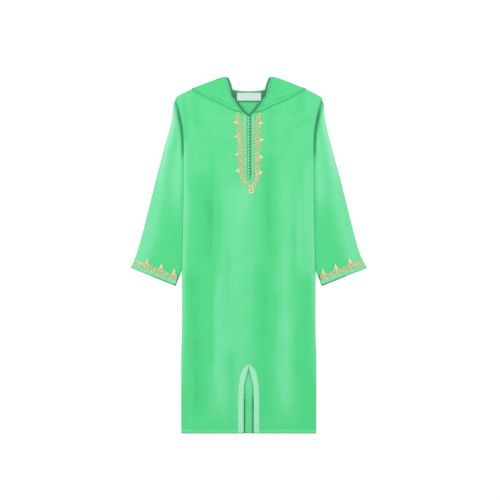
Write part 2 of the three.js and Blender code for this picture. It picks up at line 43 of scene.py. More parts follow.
# camera, straight above
camera = {"lens": 85, "sensor": 36, "width": 1462, "x": 3.8, "y": 14.6}
cameraData = bpy.data.cameras.new("camera")
cameraData.lens = camera["lens"]
cameraData.sensor_width = camera["sensor"]
cameraData.clip_end = 50
cameraObject = bpy.data.objects.new("camera", cameraData)
height = camera["width"] * camera["lens"] / camera["sensor"]
cameraObject.location = (camera["x"] * mm, camera["y"] * mm, height * mm)
bpy.context.collection.objects.link(cameraObject)
bpy.context.scene.camera = cameraObject


# number helpers
def smooth(value, start, end):
    # 0 before start, 1 after end, an even S curve between them
    t = np.clip((value - start) / (end - start), 0, 1)
    return t * t * (3 - 2 * t)


def blend(a, b, t):
    # a where t is 0, b where t is 1, straight between
    return a + (b - a) * t


def straight(rows, at):
    # straight lines through (key, value) rows
    key, value = np.array(rows, float).T
    return np.interp(at, key, value)


def along(rows, at):
    # a smooth curve through (key, value) rows: cubic pieces whose slopes come from the rows beside them
    key, value = np.array(rows, float).T
    at = np.clip(at, key[0], key[-1])
    i = np.clip(np.searchsorted(key, at, side="right") - 1, 0, len(key) - 2)
    slope = np.empty(len(key))
    slope[1:-1] = (value[2:] - value[:-2]) / (key[2:] - key[:-2])
    slope[0] = (value[1] - value[0]) / (key[1] - key[0])
    slope[-1] = (value[-1] - value[-2]) / (key[-1] - key[-2])
    step = key[i + 1] - key[i]
    t = (at - key[i]) / step
    bend = (t**3 - 2 * t**2 + t) * slope[i] + (t**3 - t**2) * slope[i + 1]
    return blend(value[i], value[i + 1], t * t * (3 - 2 * t)) + bend * step


def hump(value, centre, width):
    # a round bump, 1 at the centre and near 0 two widths away
    return np.exp(-(((value - centre) / width) ** 2))


def unevenWaves(seed, x, y):
    # smooth uneven waves between about -1 and 1: a sum of crossed sines with seeded directions
    chance = np.random.default_rng(seed)
    total = 0
    for _ in range(5):
        angle, phase = chance.uniform(0, 2 * math.pi, 2)
        pace = chance.uniform(0.7, 1.6)
        total = total + np.sin(pace * (x * math.cos(angle) + y * math.sin(angle)) + phase)
    return total / 3


# mesh helpers
def makePiece(name, points, faces, material, uv=None, fold=None):
    # a mesh from whole arrays of points and four-cornered faces, turned outwards by its signed volume.
    # A face that gives its last corner twice is a triangle.
    used, faces = np.unique(faces, return_inverse=True)
    faces = faces.reshape(-1, 4)
    points = points[used]
    a, b, c, d = (points[faces[:, i]] for i in range(4))
    volume = np.sum(a * np.cross(b, c)) + np.sum(a * np.cross(c, d))
    three = faces[:, 2] == faces[:, 3]
    if volume < 0:
        turned = np.where(three[:, None], [2, 1, 0, 3], [3, 2, 1, 0])
        faces = np.take_along_axis(faces, turned, 1)
    sizes = np.where(three, 3, 4)
    corners = faces[np.arange(4) < sizes[:, None]]
    mesh = bpy.data.meshes.new(name)
    mesh.vertices.add(len(points))
    mesh.vertices.foreach_set("co", (points * mm).astype(np.float32).ravel())
    mesh.loops.add(len(corners))
    mesh.loops.foreach_set("vertex_index", corners.astype(np.int32))
    mesh.polygons.add(len(faces))
    mesh.polygons.foreach_set("loop_start", (np.cumsum(sizes) - sizes).astype(np.int32))
    mesh.polygons.foreach_set("use_smooth", np.ones(len(faces), bool))
    mesh.update(calc_edges=True)
    if uv is not None:
        layer = mesh.uv_layers.new(name="flat")
        layer.data.foreach_set("uv", uv[used][corners].astype(np.float32).ravel())
    # fold carries each point's painted shade and highlight, which the cloth's colour ramp reads
    if fold is not None:
        layer = mesh.attributes.new("fold", "FLOAT", "POINT")
        layer.data.foreach_set("value", fold[used].astype(np.float32).ravel())
    mesh.validate()
    mesh.materials.append(material)
    piece = bpy.data.objects.new(name, mesh)
    bpy.context.collection.objects.link(piece)
    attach(piece, "root")
    return piece


def wall(outer, inner, keep=None, around=False):
    # a closed shell between two grids: both faces, and a rim along each edge of a kept cell with no neighbour
    rows, cols = outer.shape[:2]
    lift = rows * cols
    cells = cols if around else cols - 1
    r, c = np.meshgrid(np.arange(rows - 1), np.arange(cells), indexing="ij")
    right = (c + 1) % cols
    a, b, d, e = r * cols + c, r * cols + right, (r + 1) * cols + right, (r + 1) * cols + c
    kept = np.ones(r.shape, bool) if keep is None else keep
    beside = np.pad(kept, 1)
    if around:
        beside[:, 0], beside[:, -1] = beside[:, -2], beside[:, 1]
    faces = [np.stack([a, b, d, e], -1)[kept], np.stack([d, b, a, e], -1)[kept] + lift]
    for dr, dc, p, q in ((-1, 0, a, b), (0, 1, b, d), (1, 0, d, e), (0, -1, e, a)):
        near = beside[1 + dr : 1 + dr + rows - 1, 1 + dc : 1 + dc + cells]
        faces.append(np.stack([q, p, p + lift, q + lift], -1)[kept & ~near])
    points = np.concatenate([outer.reshape(-1, 3), inner.reshape(-1, 3)])
    return points, np.concatenate(faces)


def joined(parts):
    # several (points, faces, values) as one
    starts = np.cumsum([0] + [len(part[0]) for part in parts[:-1]])
    points = np.concatenate([part[0] for part in parts])
    faces = np.concatenate([part[1] + start for part, start in zip(parts, starts)])
    return points, faces, np.concatenate([part[2] for part in parts])


def grid(x, y, z):
    # points from three arrays or numbers that broadcast to one shape
    return np.stack(np.broadcast_arrays(x, y, z), -1)


def unit(v):
    # each vector divided by its length
    return v / np.maximum(np.linalg.norm(v, axis=-1, keepdims=True), 1e-9)


def lengthAlong(line):
    # the distance along a line from its first point to each of its points
    return np.concatenate([[0], np.cumsum(np.linalg.norm(np.diff(line, axis=0), axis=1))])


def bothFaces(*layers):
    # values on a grid, listed point by point for both faces of its wall: one layer for a fold, two for a uv
    values = np.stack(np.broadcast_arrays(*layers), -1).reshape(-1, len(layers))
    return np.concatenate([values, values])


def ringFaces(count, rings, sides, spans):
    # faces between neighbouring rings of points, for count bodies of so many rings with so many sides
    body, ring, side = np.meshgrid(np.arange(count), np.arange(spans), np.arange(sides), indexing="ij")

    def at(ringStep, sideStep):
        return (body * rings + (ring + ringStep) % rings) * sides + (side + sideStep) % sides

    return np.stack([at(0, 0), at(0, 1), at(1, 1), at(1, 0)], -1).reshape(-1, 4)


threadEnd = 0.25  # the share of its thickness that a thread keeps at its ends


def tubes(paths, radius, sides=5, closedPath=False):
    # round threads along many paths at once: paths is (count, steps, 3), and each ring stands across
    # its path. An open path has 5 sides and narrows to a small flat end.
    count, steps = paths.shape[:2]
    ahead = np.roll(paths, -1, 1) - np.roll(paths, 1, 1) if closedPath else np.gradient(paths, axis=1)
    ahead = unit(ahead)
    side = unit(np.cross(ahead, [0, 0, 1.0]))
    up = np.cross(side, ahead)
    angle = np.arange(sides) * 2 * math.pi / sides
    radius = np.broadcast_to(radius, (count, steps)).copy()
    if not closedPath:
        radius[:, [0, -1]] *= threadEnd
    ring = np.cos(angle)[:, None] * side[:, :, None] + np.sin(angle)[:, None] * up[:, :, None]
    points = paths[:, :, None] + radius[:, :, None, None] * ring
    length = np.cumsum(np.linalg.norm(np.diff(paths, axis=1, prepend=paths[:, :1]), axis=-1), 1)
    uv = np.stack(np.broadcast_arrays(length[:, :, None], np.arange(sides) / sides), -1)
    faces = ringFaces(count, steps, sides, steps if closedPath else steps - 1)
    if not closedPath:
        first = np.arange(count)[:, None] * steps * sides
        last = first + (steps - 1) * sides
        ends = [first + [3, 2, 1, 0], first + [4, 3, 0, 0], last + [0, 1, 2, 3], last + [0, 3, 4, 4]]
        faces = np.concatenate([faces, *ends])
    return points.reshape(-1, 3), faces, uv.reshape(-1, 2)


def threadPiece(name, parts, material):
    # one piece from several lots of thread
    points, faces, uv = joined(parts)
    piece = makePiece(name, points, faces, material, uv=uv)
    return piece


# material helpers
def addNode(tree, kind, inputs=(), **settings):
    # a node with its settings, and its inputs set to values or linked to sockets
    node = tree.nodes.new(kind)
    for key, value in settings.items():
        setattr(node, key, value)
    for key, value in dict(inputs).items():
        if isinstance(value, bpy.types.NodeSocket):
            tree.links.new(value, node.inputs[key])
        else:
            node.inputs[key].default_value = value
    return node


def maths(tree, operation, *values):
    # what a math node makes of values or sockets
    return addNode(tree, "ShaderNodeMath", enumerate(values), operation=operation).outputs[0]


def newGroup(name, inputs, outputs):
    # an empty node group with its named sockets, and the nodes that hold them
    group = bpy.data.node_groups.new(name, "ShaderNodeTree")
    for label, kind, value in inputs:
        socket = group.interface.new_socket(name=label, in_out="INPUT", socket_type="NodeSocket" + kind)
        if value is not None:
            socket.default_value = value
    for label, kind in outputs:
        group.interface.new_socket(name=label, in_out="OUTPUT", socket_type="NodeSocket" + kind)
    return group, group.nodes.new("NodeGroupInput"), group.nodes.new("NodeGroupOutput")


def noiseValue(tree, vector, scale, detail):
    # soft noise between 0 and 1
    given = {"Vector": vector, "Scale": scale, "Detail": detail}
    return addNode(tree, "ShaderNodeTexNoise", given).outputs[0]


def swing(tree, value, amount):
    # a value between 0 and 1 as a change either way, of so much in all
    return maths(tree, "MULTIPLY", maths(tree, "SUBTRACT", value, 0.5), amount)


def rampValue(tree, value, start, end):
    # 0 below start, 1 above end, straight between
    return addNode(tree, "ShaderNodeMapRange", {0: value, 1: start, 2: end}).outputs[0]


# scales of the cloth's noises, and the share of the crossed threads
weaveSizes = {"fine": 900.0, "slubs": (260.0, 18.0, 60.0), "patches": 14.0, "crossed": 0.35}


def weaveGroup():
    # crossed sines for warp and weft, broken up by fine noise, and a slow patchy mottle
    group, given, result = newGroup(
        "clothWeave",
        [("Vector", "Vector", None), ("Threads", "Float", 1500.0), ("Slub", "Float", 0.5)],
        [("Height", "Float"), ("Mottle", "Float"), ("Slubs", "Float")],
    )
    place = given.outputs["Vector"]
    axes = addNode(group, "ShaderNodeSeparateXYZ", {0: place})
    pace = maths(group, "MULTIPLY", given.outputs["Threads"], 2 * math.pi)
    warp = maths(group, "SINE", maths(group, "MULTIPLY", axes.outputs[0], pace))
    weft = maths(group, "SINE", maths(group, "MULTIPLY", axes.outputs[1], pace))
    crossed = maths(group, "MULTIPLY", maths(group, "MULTIPLY", warp, weft), weaveSizes["crossed"])
    fine = noiseValue(group, place, weaveSizes["fine"], 3.0)
    stretched = addNode(group, "ShaderNodeMapping", {"Vector": place, "Scale": weaveSizes["slubs"]})
    slubs = noiseValue(group, stretched.outputs[0], 1.0, 4.0)
    uneven = maths(group, "ADD", fine, maths(group, "MULTIPLY", slubs, given.outputs["Slub"]))
    group.links.new(maths(group, "ADD", crossed, uneven), result.inputs["Height"])
    group.links.new(noiseValue(group, place, weaveSizes["patches"], 3.0), result.inputs["Mottle"])
    group.links.new(slubs, result.inputs["Slubs"])
    return group


def plaitGroup():
    # slanting strands that meet in a chevron: a sine of the length, shifted by the distance from the middle
    group, given, result = newGroup(
        "braidPlait",
        [("Vector", "Vector", None), ("Pitch", "Float", 1.8), ("Slant", "Float", 3.0)],
        [("Height", "Float")],
    )
    axes = addNode(group, "ShaderNodeSeparateXYZ", {0: given.outputs["Vector"]})
    off = maths(group, "ABSOLUTE", maths(group, "SUBTRACT", axes.outputs[1], 0.5))
    shifted = maths(group, "ADD", axes.outputs[0], maths(group, "MULTIPLY", off, given.outputs["Slant"]))
    turns = maths(group, "DIVIDE", shifted, given.outputs["Pitch"])
    strand = maths(group, "ABSOLUTE", maths(group, "SINE", maths(group, "MULTIPLY", turns, math.pi)))
    group.links.new(strand, result.inputs["Height"])
    return group


weave = weaveGroup()
plait = plaitGroup()


def newMaterial(name, roughness, sheen=0.0, metallic=0.0, specular=0.4, sheenTint=(1, 1, 1)):
    # a material, its tree and its Principled shader with the plain values set
    material = bpy.data.materials.new(name)
    material.use_nodes = True
    tree = material.node_tree
    shader = tree.nodes["Principled BSDF"]
    shader.inputs["Roughness"].default_value = roughness
    shader.inputs["Metallic"].default_value = metallic
    shader.inputs["Specular IOR Level"].default_value = specular
    shader.inputs["Sheen Weight"].default_value = sheen
    shader.inputs["Sheen Roughness"].default_value = 0.45
    shader.inputs["Sheen Tint"].default_value = (*sheenTint, 1)
    return material, tree, shader


def colourMix(tree, factor, a, b):
    # from colour a at 0 to colour b at 1
    mix = addNode(tree, "ShaderNodeMix", {"Factor": factor}, data_type="RGBA")
    for socket, value in ((mix.inputs[6], a), (mix.inputs[7], b)):
        if isinstance(value, bpy.types.NodeSocket):
            tree.links.new(value, socket)
        else:
            socket.default_value = (*value, 1)
    return mix.outputs[2]


def addBump(tree, shader, height, distance):
    # tilts the shader's normal by the slope of a height
    bump = addNode(tree, "ShaderNodeBump", {"Height": height, "Distance": distance})
    tree.links.new(bump.outputs[0], shader.inputs["Normal"])


# the cloth's tones, from the depth of a gap to the palest edge, by the fold value that the piece carries:
# painted shadow and shade low, the cloth's own colour in the middle, painted highlight high
crepe = {
    "paintedShadeTones": [
        (0.0, (0.016, 0.175, 0.075)),
        (0.35, (0.050, 0.535, 0.180)),
        (0.7, (0.128, 0.600, 0.285)),
        (1.0, (0.245, 0.660, 0.405)),
    ],
    "threads": 1700.0,
    "slub": 0.8,
    "bump": 0.00009,
    "mottleTone": 0.16,
    "slubTone": 0.14,
    "roughness": (0.47, 0.63),
}


def crepeCloth():
    # the tone follows the fold value of painted shade and highlight, shifted a little by a slow mottle and by
    # fine upright slubs
    material, tree, shader = newMaterial("mintCrepe", 0.55, 0.12, specular=0.3, sheenTint=(0.8, 1, 0.88))
    place = addNode(tree, "ShaderNodeTexCoord").outputs["Object"]
    given = {"Vector": place, "Threads": crepe["threads"], "Slub": crepe["slub"]}
    woven = addNode(tree, "ShaderNodeGroup", given, node_tree=weave)
    fold = addNode(tree, "ShaderNodeAttribute", attribute_name="fold").outputs["Fac"]
    mottle = swing(tree, woven.outputs["Mottle"], crepe["mottleTone"])
    slub = swing(tree, woven.outputs["Slubs"], crepe["slubTone"])
    factor = maths(tree, "ADD", fold, maths(tree, "ADD", mottle, slub))
    paintedShadeTones = addNode(tree, "ShaderNodeValToRGB", {"Fac": factor})
    ramp = paintedShadeTones.color_ramp
    ramp.interpolation = "EASE"
    while len(ramp.elements) < len(crepe["paintedShadeTones"]):
        ramp.elements.new(0.5)
    for stop, (position, colour) in zip(ramp.elements, crepe["paintedShadeTones"]):
        stop.position = position
        stop.color = (*colour, 1)
    tree.links.new(paintedShadeTones.outputs["Color"], shader.inputs["Base Color"])
    low, high = crepe["roughness"]
    rough = addNode(tree, "ShaderNodeMapRange", {0: woven.outputs["Slubs"], 3: low, 4: high})
    tree.links.new(rough.outputs[0], shader.inputs["Roughness"])
    addBump(tree, shader, woven.outputs["Height"], crepe["bump"])
    return material


def plaitedBraid(name, dark, light, pitch=2.2, slant=7.0, bump=0.0002, patch=1.6, speck=None):
    # chevron strands in two near tones, darker in the grooves with painted shade, and patchy, with a few
    # specks of another colour
    material, tree, shader = newMaterial(name, 0.45, sheen=0.2, specular=0.45)
    place = addNode(tree, "ShaderNodeUVMap", uv_map="flat").outputs[0]
    given = {"Vector": place, "Pitch": pitch, "Slant": slant}
    strands = addNode(tree, "ShaderNodeGroup", given, node_tree=plait)
    # the uv is in millimetres along and in shares across, so it's stretched to even cells first
    even = addNode(tree, "ShaderNodeMapping", {"Vector": place, "Scale": (1, 10, 1)}).outputs[0]
    patchy = maths(tree, "MULTIPLY_ADD", noiseValue(tree, even, 0.3, 4.0), patch, -0.53 * patch)
    colour = colourMix(tree, maths(tree, "ADD", strands.outputs["Height"], patchy), dark, light)
    if speck:
        mask = rampValue(tree, noiseValue(tree, even, 0.45, 2.0), 0.56, 0.64)
        colour = colourMix(tree, mask, colour, speck)
    tree.links.new(colour, shader.inputs["Base Color"])
    addBump(tree, shader, strands.outputs["Height"], bump)
    return material


gold = {
    "tan": (0.97, 0.68, 0.48),
    "bright": (1.0, 0.82, 0.38),
    "dull": (0.40, 0.52, 0.34),
    "paintedGrooveShade": (0.44, 0.43, 0.27),
    "pitch": 0.9,
    "slant": 1.0,
    "bump": 0.00012,
}


def goldenThread():
    # twisted thread that drifts between gold, tan and a dull grey green
    material, tree, shader = newMaterial("goldThread", 0.42, sheen=0.1, metallic=0.15, specular=0.5)
    place = addNode(tree, "ShaderNodeUVMap", uv_map="flat").outputs[0]
    given = {"Vector": place, "Pitch": gold["pitch"], "Slant": gold["slant"]}
    strands = addNode(tree, "ShaderNodeGroup", given, node_tree=plait)
    spot = addNode(tree, "ShaderNodeTexCoord").outputs["Object"]
    hue = rampValue(tree, noiseValue(tree, spot, 130.0, 3.0), 0.43, 0.57)
    dull = rampValue(tree, noiseValue(tree, spot, 260.0, 2.0), 0.54, 0.6)
    warm = colourMix(tree, dull, colourMix(tree, hue, gold["tan"], gold["bright"]), gold["dull"])
    # painted shade: the strands' grooves darken towards the groove colour
    tone = maths(tree, "MULTIPLY_ADD", strands.outputs["Height"], 0.4, 0.6)
    tree.links.new(colourMix(tree, tone, gold["paintedGrooveShade"], warm), shader.inputs["Base Color"])
    addBump(tree, shader, strands.outputs["Height"], gold["bump"])
    return material


# pitch is a strand's length along the cord, and slant how far it leans, both in millimetres
# dark holds the painted shade in the strands' grooves, light the colour on their crests
cordLooks = {
    "paleBraid": {"dark": (0.13, 0.50, 0.26), "light": (0.37, 0.74, 0.50)},
    "cuffBraidCord": {"dark": (0.05, 0.42, 0.16), "light": (0.27, 0.74, 0.42), "patch": 4.5},
    "placketBraidCord": {
        "dark": (0.05, 0.38, 0.15), "light": (0.21, 0.66, 0.35), "speck": (0.05, 0.38, 0.15),
        "pitch": 8.88, "slant": 9.0,
    },
    "mouthBraidCord": {"dark": (0.03, 0.38, 0.13), "light": (0.09, 0.54, 0.22), "speck": (0.05, 0.34, 0.14)},
    "loopCord": {
        "dark": (0.03, 0.32, 0.12), "light": (0.12, 0.56, 0.26), "pitch": 1.1, "slant": 1.2, "bump": 0.0001,
    },
    "buttonCord": {"dark": (0.13, 0.54, 0.26), "light": (0.38, 0.80, 0.51), "pitch": 1.1, "slant": 1.2},
    "labelSatin": {
        "dark": (0.40, 0.50, 0.47), "light": (0.51, 0.60, 0.57), "pitch": 0.5, "slant": 0.0, "bump": 0.00003,
    },
    "sewingThread": {
        "dark": (0.09, 0.52, 0.22), "light": (0.22, 0.72, 0.40), "pitch": 0.7, "slant": 0.8, "bump": 0.0001,
    },
}  # fmt: skip

mint = crepeCloth()
goldThread = goldenThread()
cords = {name: plaitedBraid(name, **look) for name, look in cordLooks.items()}

# the garment's own sizes
cloth = 1.2
seam = 0.3  # the gap between two layers
hemY = -521
underLayer = 2.9  # height of what lies flat under the back: a sleeve or the folded hood
backRise = underLayer + 0.4
backTop = backRise + cloth
frontTop = backTop + seam + cloth
trimThick = 0.9
neckPoint = 403.5  # height of the V's point
hemTurn = 15  # width of the turned hem

# (height, half width) of the body and of the slit, and (half width, height) along the top edges
bodySide = [
    (-521, 196.5), (-400, 197), (-290, 196.8), (-240, 194.8), (-44, 194.2), (60, 192),
    (200, 190), (317, 190), (361, 193), (409, 202), (442, 210.5), (458, 214.5),
]  # fmt: skip
shoulder = [(162, 484), (175, 480), (195, 470), (208, 462.5), (214.5, 457)]
frontEdge = [
    (0, neckPoint), (8, 410.3), (16, 417.2), (26, 422), (44, 429.5), (61, 438.5),
    (89, 450.5), (122, 465), (150, 479.5), *shoulder,
]  # fmt: skip
backEdge = [(0, 447), (68, 448.9), (88, 455), (120, 467), (150, 479.5), *shoulder]
hemSlit = [
    (-521, 14), (-424, 14), (-410, 13.9), (-392, 13.4), (-383, 12.7), (-374, 11.4),
    (-365.5, 9.5), (-356.7, 7), (-348, 4), (-340, 2), (-333, 1),
]  # fmt: skip
hemSlitTop = -333
placket = {"bottomY": 223.7, "left": 4.6, "right": 6.6}

# rings across the sleeve, from the cuff's hem to under the shoulder: its outer edge and its inner edge
sleeveRings = {
    "fromHem": [0, 14, 45, 90, 140, 190, 240, 290, 340, 385, 425, 470, 502, 520],
    "outX": [345, 338.6, 326, 314.5, 302, 290, 278, 266, 253, 241.5, 230.5, 222.2, 219.6, 211.5],
    "outY": [-36.6, -24, 8, 48, 95, 143, 192, 240, 288, 332, 368, 405, 440, 457],
    "inX": [213.7, 208.2, 196, 178, 168, 162, 160, 160, 162, 165, 168, 170, 169, 161],
    "inY": [-90, -75, -45, -2, 42, 88, 130, 168, 200, 228, 250, 268, 280, 294],
    "rightBy": [0, 1, 3, 3, 3, 3, 3, 3.5, 4, 4, 2, 1, 0, 0],
}
# how far in the sleeves reach under the back, and how far down the hood does
tucked = [*zip(sleeveRings["inY"], sleeveRings["inX"]), (457, 211.5)]
hoodEdge = [(0, 225), (30, 258), (75, 340), (120, 420), (150, 468), (170, 500)]
hoodSlant = 0.52
drape = (10, 62)  # where the cloth starts and ends its way down beside what lies under it

# long folds of the front: each has a flat top from left to right and a slope of its own width on both sides,
# and leans by so many mm in a metre
foldFade = 130  # the length over which it fades out
bodyFolds = [
    {
        "left": -84, "leftSlope": 34, "right": -2, "rightSlope": 40,
        "rise": 2.8, "top": 262, "end": -505, "lean": -12,
    },
    {
        "left": 98, "leftSlope": 32, "right": 122, "rightSlope": 42,
        "rise": 2.4, "top": 214, "end": -508, "lean": 2,
    },
]  # fmt: skip


def foldShare(fold, x, y):
    # 0 to 1: 1 on the fold's flat top, falling down its two slopes and towards both its ends
    shifted = x - fold["lean"] * (fold["top"] - y) / 1000
    across = smooth(shifted, fold["left"] - fold["leftSlope"], fold["left"])
    across = across * (1 - smooth(shifted, fold["right"], fold["right"] + fold["rightSlope"]))
    below = smooth(y, fold["end"], fold["end"] + foldFade)
    return across * below * (1 - smooth(y, fold["top"] - foldFade, fold["top"]))


def backUnder(x, y):
    # on the floor, and raised over what lies beneath it: the two sleeves and the hood
    reach = np.abs(x)
    offHood = smooth(hoodSlant * (along(hoodEdge, reach) - y), *drape)
    onSleeve = (1 - smooth(straight(tucked, y) - reach, *drape)) * smooth(y, -115, -50)
    return backRise * (1 - offHood * (1 - onSleeve))


frontLie = {"loose": 0.7, "lips": 1.8, "lipWidth": 34}


def frontPlain(x, y):
    # top of the front: on the back, a little loose between its edges, with the long folds and the slit's lips
    reach = np.abs(x)
    inside = smooth(along(bodySide, y) - reach, 5, 60) * smooth(y - hemY, 5, 60)
    inside = inside * smooth(straight(frontEdge, reach) - y, 8, 45)
    beside = 1 - smooth(reach - straight(hemSlit, y), 0, frontLie["lipWidth"])
    beside = beside * (1 - smooth(y, hemSlitTop - 40, hemSlitTop + 40)) * smooth(y - hemY, 0, 40)
    folds = sum(fold["rise"] * foldShare(fold, x, y) for fold in bodyFolds)
    raised = frontLie["loose"] * inside + np.maximum(folds, frontLie["lips"] * beside)
    return backUnder(x, y) + cloth + seam + raised + cloth


# creases, a row for each: x and y at both ends, how far the middle bows out, half width,
# and rise, which is below 0 for a trough
frontCreases = [
    (-186, 330, -181, -480, 3, 5, 0.55), (186, 330, 183, -480, -3, 5, 0.55),
    (-172, 300, -166, -430, 2, 7, -0.35), (172, 290, 168, -400, -2, 7, -0.35),
    (56, 236, 47, -40, 4, 12, -0.7), (-119, 214, -126, -60, -5, 17, -0.6), (-96, -40, -92, -440, 4, 7, 0.9),
    (134, 160, 138, -150, 3, 8, -0.5), (84, -30, 80, -420, -3, 7, 0.7), (30, 40, 38, -330, -6, 12, -0.45),
    (-60, 150, -52, -200, 5, 9, -0.5),
    (-150, 60, -146, -330, -4, 10, 0.3), (-30, 190, -24, 20, -3, 6, 0.5), (150, -120, 146, -450, 4, 9, -0.5),
    (112, 60, 106, -260, 3, 5, 0.5), (-190, 420, -120, 372, 6, 8, -0.8), (190, 416, 124, 366, -6, 8, -0.8),
    (-100, 438, -48, 404, 4, 7, -0.6), (100, 436, 50, 402, -4, 7, -0.6),
]  # fmt: skip


def creased(creases, x, y):
    # the sum of soft round creases, each along a bowed line and tapering to both ends
    total = np.zeros(np.broadcast(x, y).shape)
    for x0, y0, x1, y1, bow, width, rise in creases:
        long = math.hypot(x1 - x0, y1 - y0)
        ahead = ((x1 - x0) / long, (y1 - y0) / long)
        u = ((x - x0) * ahead[0] + (y - y0) * ahead[1]) / long
        v = (x - x0) * ahead[1] - (y - y0) * ahead[0] - bow * 4 * u * (1 - u)
        taper = smooth(u, 0, 0.35) * (1 - smooth(u, 0.6, 1))
        total = total + rise * hump(v, 0, width * (0.7 + 0.5 * taper)) * taper
    return total


# faint waves in the laid cloth: seed, spacing across and up in mm, and rise
frontWaves = [(3, 26, 90, 0.22), (4, 11, 17, 0.1)]


def frontTopAt(x, y):
    # the laid front with its creases and a faint waviness, calm near the edges
    calm = smooth(along(bodySide, y) - np.abs(x), 0, 16) * smooth(straight(frontEdge, np.abs(x)) - y, 0, 20)
    calm = calm * smooth(y - hemY, 0, 18)
    wavy = sum(rise * unevenWaves(seed, x / wide, y / long) for seed, wide, long, rise in frontWaves)
    return frontPlain(x, y) + calm * (creased(frontCreases, x, y) + wavy)


# painted highlight and shade that run over the folds, a row for each band of tone: its middle x, half width,
# top, end,
# lean, and how much paler it is
frontPaintedBands = [
    (-187, 7, 345, -505, -8, 0.34), (-132, 34, 265, -50, -6, -0.17), (-36, 44, 225, -490, -10, 0.08),
    (58, 19, 320, -60, 6, -0.2), (189, 6, 320, -505, 6, 0.22), (107, 16, 240, -480, 2, 0.05),
    (148, 8, 200, -60, 0, 0.1), (172, 12, 300, -80, 0, 0.12), (-152, 29, -10, -500, 0, -0.23),
    (-88, 10, -30, -470, 3, 0.07), (50, 27, 0, -500, -6, -0.17), (104, 18, -150, -480, 0, 0.08),
    (168, 24, -40, -520, 0, -0.14), (-14, 30, 240, 90, 0, 0.08), (-190, 5, 480, 320, 22, -0.13),
    (-170, 8, 490, 330, 16, 0.05), (-107, 12, 330, -340, 0, -0.12), (-86, 8, 210, -30, 0, -0.09),
    (-178, 7, 240, 0, 0, 0.1), (-194, 7, -350, -520, 0, -0.14), (194, 7, -330, -520, 0, -0.13),
    (-50, 14, -250, -500, 0, -0.13), (80, 10, -90, -290, 0, -0.1), (62, 14, 470, 280, 0, -0.07),
    (-156, 16, 510, 370, 0, -0.11), (150, 14, 510, 390, 0, -0.1),
]  # fmt: skip


bandFade = 60


def paintedShadeBands(rows, x, y):
    # soft upright bands of painted highlight and shade that lean by so many mm in 400, fading out at both
    # ends
    total = 0
    for middleX, width, top, end, lean, tone in rows:
        shifted = x - middleX - lean * (top - y) / 400
        ends = smooth(y, end, end + bandFade) * (1 - smooth(y, top - bandFade, top))
        total = total + tone * hump(shifted, 0, width) * ends
    return total


# the front's tone where it is flat, and how far painted shade changes it on its creases and darkens it at
# each edge or seam
frontShade = {
    "flat": 0.5, "creases": 0.1, "buttonLine": 0.14, "slitLine": 0.14, "underHood": 0.15,
    "hemStitches": 0.14, "aboveHem": 0.06, "turnedHem": -0.1, "hemEdge": 0.2, "slitEdge": 0.4,
}  # fmt: skip


def frontPaintedShade(x, y):
    # painted shadow deepens it beside the buttons, under the hood's edge, at the hem's fold and along the
    # slit, and a painted highlight lies on the turned hem
    shade = frontShade
    reach = np.abs(x)
    tone = shade["flat"] + paintedShadeBands(frontPaintedBands, x, y) + shade["creases"] * creased(frontCreases, x, y)
    tone = tone - shade["buttonLine"] * hump(x, 0, 6) * smooth(y, 216, 228)
    tone = tone - shade["slitLine"] * hump(x, placket["right"], 1.5) * smooth(y, 212, 224)
    hoodShadowSpan = smooth(reach, 10, 30) * (1 - smooth(reach, 150, 175))
    tone = tone - shade["underHood"] * (1 - smooth(straight(frontEdge, reach) - y, 7, 17)) * hoodShadowSpan
    fromHem = y - hemY
    tone = tone - shade["hemStitches"] * hump(fromHem, hemTurn, 2.2)
    tone = tone - shade["aboveHem"] * (1 - smooth(fromHem, hemTurn, 70))
    tone = tone - shade["turnedHem"] * (1 - smooth(fromHem, 10, hemTurn))
    tone = tone - shade["hemEdge"] * (1 - smooth(fromHem, 0, 3))
    fromSlit = reach - straight(hemSlit, y)
    upward = (1 - 0.8 * smooth(y, -410, -365)) * (1 - smooth(y, hemSlitTop, hemSlitTop + 20))
    return tone - shade["slitEdge"] * (1 - smooth(fromSlit, 0, 3)) * upward


# front and back
panelGrid = {"columns": 58, "rows": (56, 160, 56), "backColumns": 66, "backRows": 170}


def slitEdge(y, side):
    # one edge of the hem slit, of the closed stretch above it, or of the placket slit
    top = placket["left"] if side < 0 else placket["right"]
    above = blend(side, top, np.clip((y - hemSlitTop) / (placket["bottomY"] - hemSlitTop), 0, 1))
    return np.where(y <= hemSlitTop, side * straight(hemSlit, y), above)


def noSlit(y, side):
    # the back's two middle columns stand a little apart, with cloth between them
    return side * 1.5 + 0 * y


def panelPlan(edge, heights, columns, middleEdge=slitEdge):
    # columns run from the slit to the side edges, and each row is scaled to end on the top edge
    part = np.linspace(0, 1, columns)
    share = ((heights - hemY) / (heights[-1] - hemY))[:, None]
    half = along(bodySide, blend(hemY, bodySide[-1][0], share))
    row = heights[:, None]
    left = blend(middleEdge(row, -1), -half, part[::-1])
    right = blend(middleEdge(row, 1), half, part)
    x = np.concatenate([left, right], 1)
    return x, blend(hemY, straight(edge, np.abs(x)), share)


def heightRows(counts):
    # rows that fall on the slit's top, the placket's foot and the V's point
    marks = [hemY, hemSlitTop, placket["bottomY"], neckPoint]
    spans = [np.linspace(a, b, n)[:-1] for a, b, n in zip(marks, marks[1:], counts)]
    return np.concatenate([*spans, [marks[-1]]])


def frontPanel():
    # the front as a wall under its top surface, parted at the hem slit and at the placket
    heights = heightRows(panelGrid["rows"])
    x, y = panelPlan(frontEdge, heights, panelGrid["columns"])
    top = frontTopAt(x, y)
    middle = (heights[:-1] + heights[1:])[:, None] / 2
    column = np.arange(x.shape[1] - 1)[None]
    parted = (middle < hemSlitTop) | (middle > placket["bottomY"])
    keep = ~(parted & (column == panelGrid["columns"] - 1))
    points, faces = wall(grid(x, y, top), grid(x, y, top - cloth), keep)
    return makePiece("front", points, faces, mint, fold=bothFaces(frontPaintedShade(x, y)))


neckOpening = [(400, 0), (416, 15), (447, 38), (480, 48)]  # (height, half width) of the V and the mouth


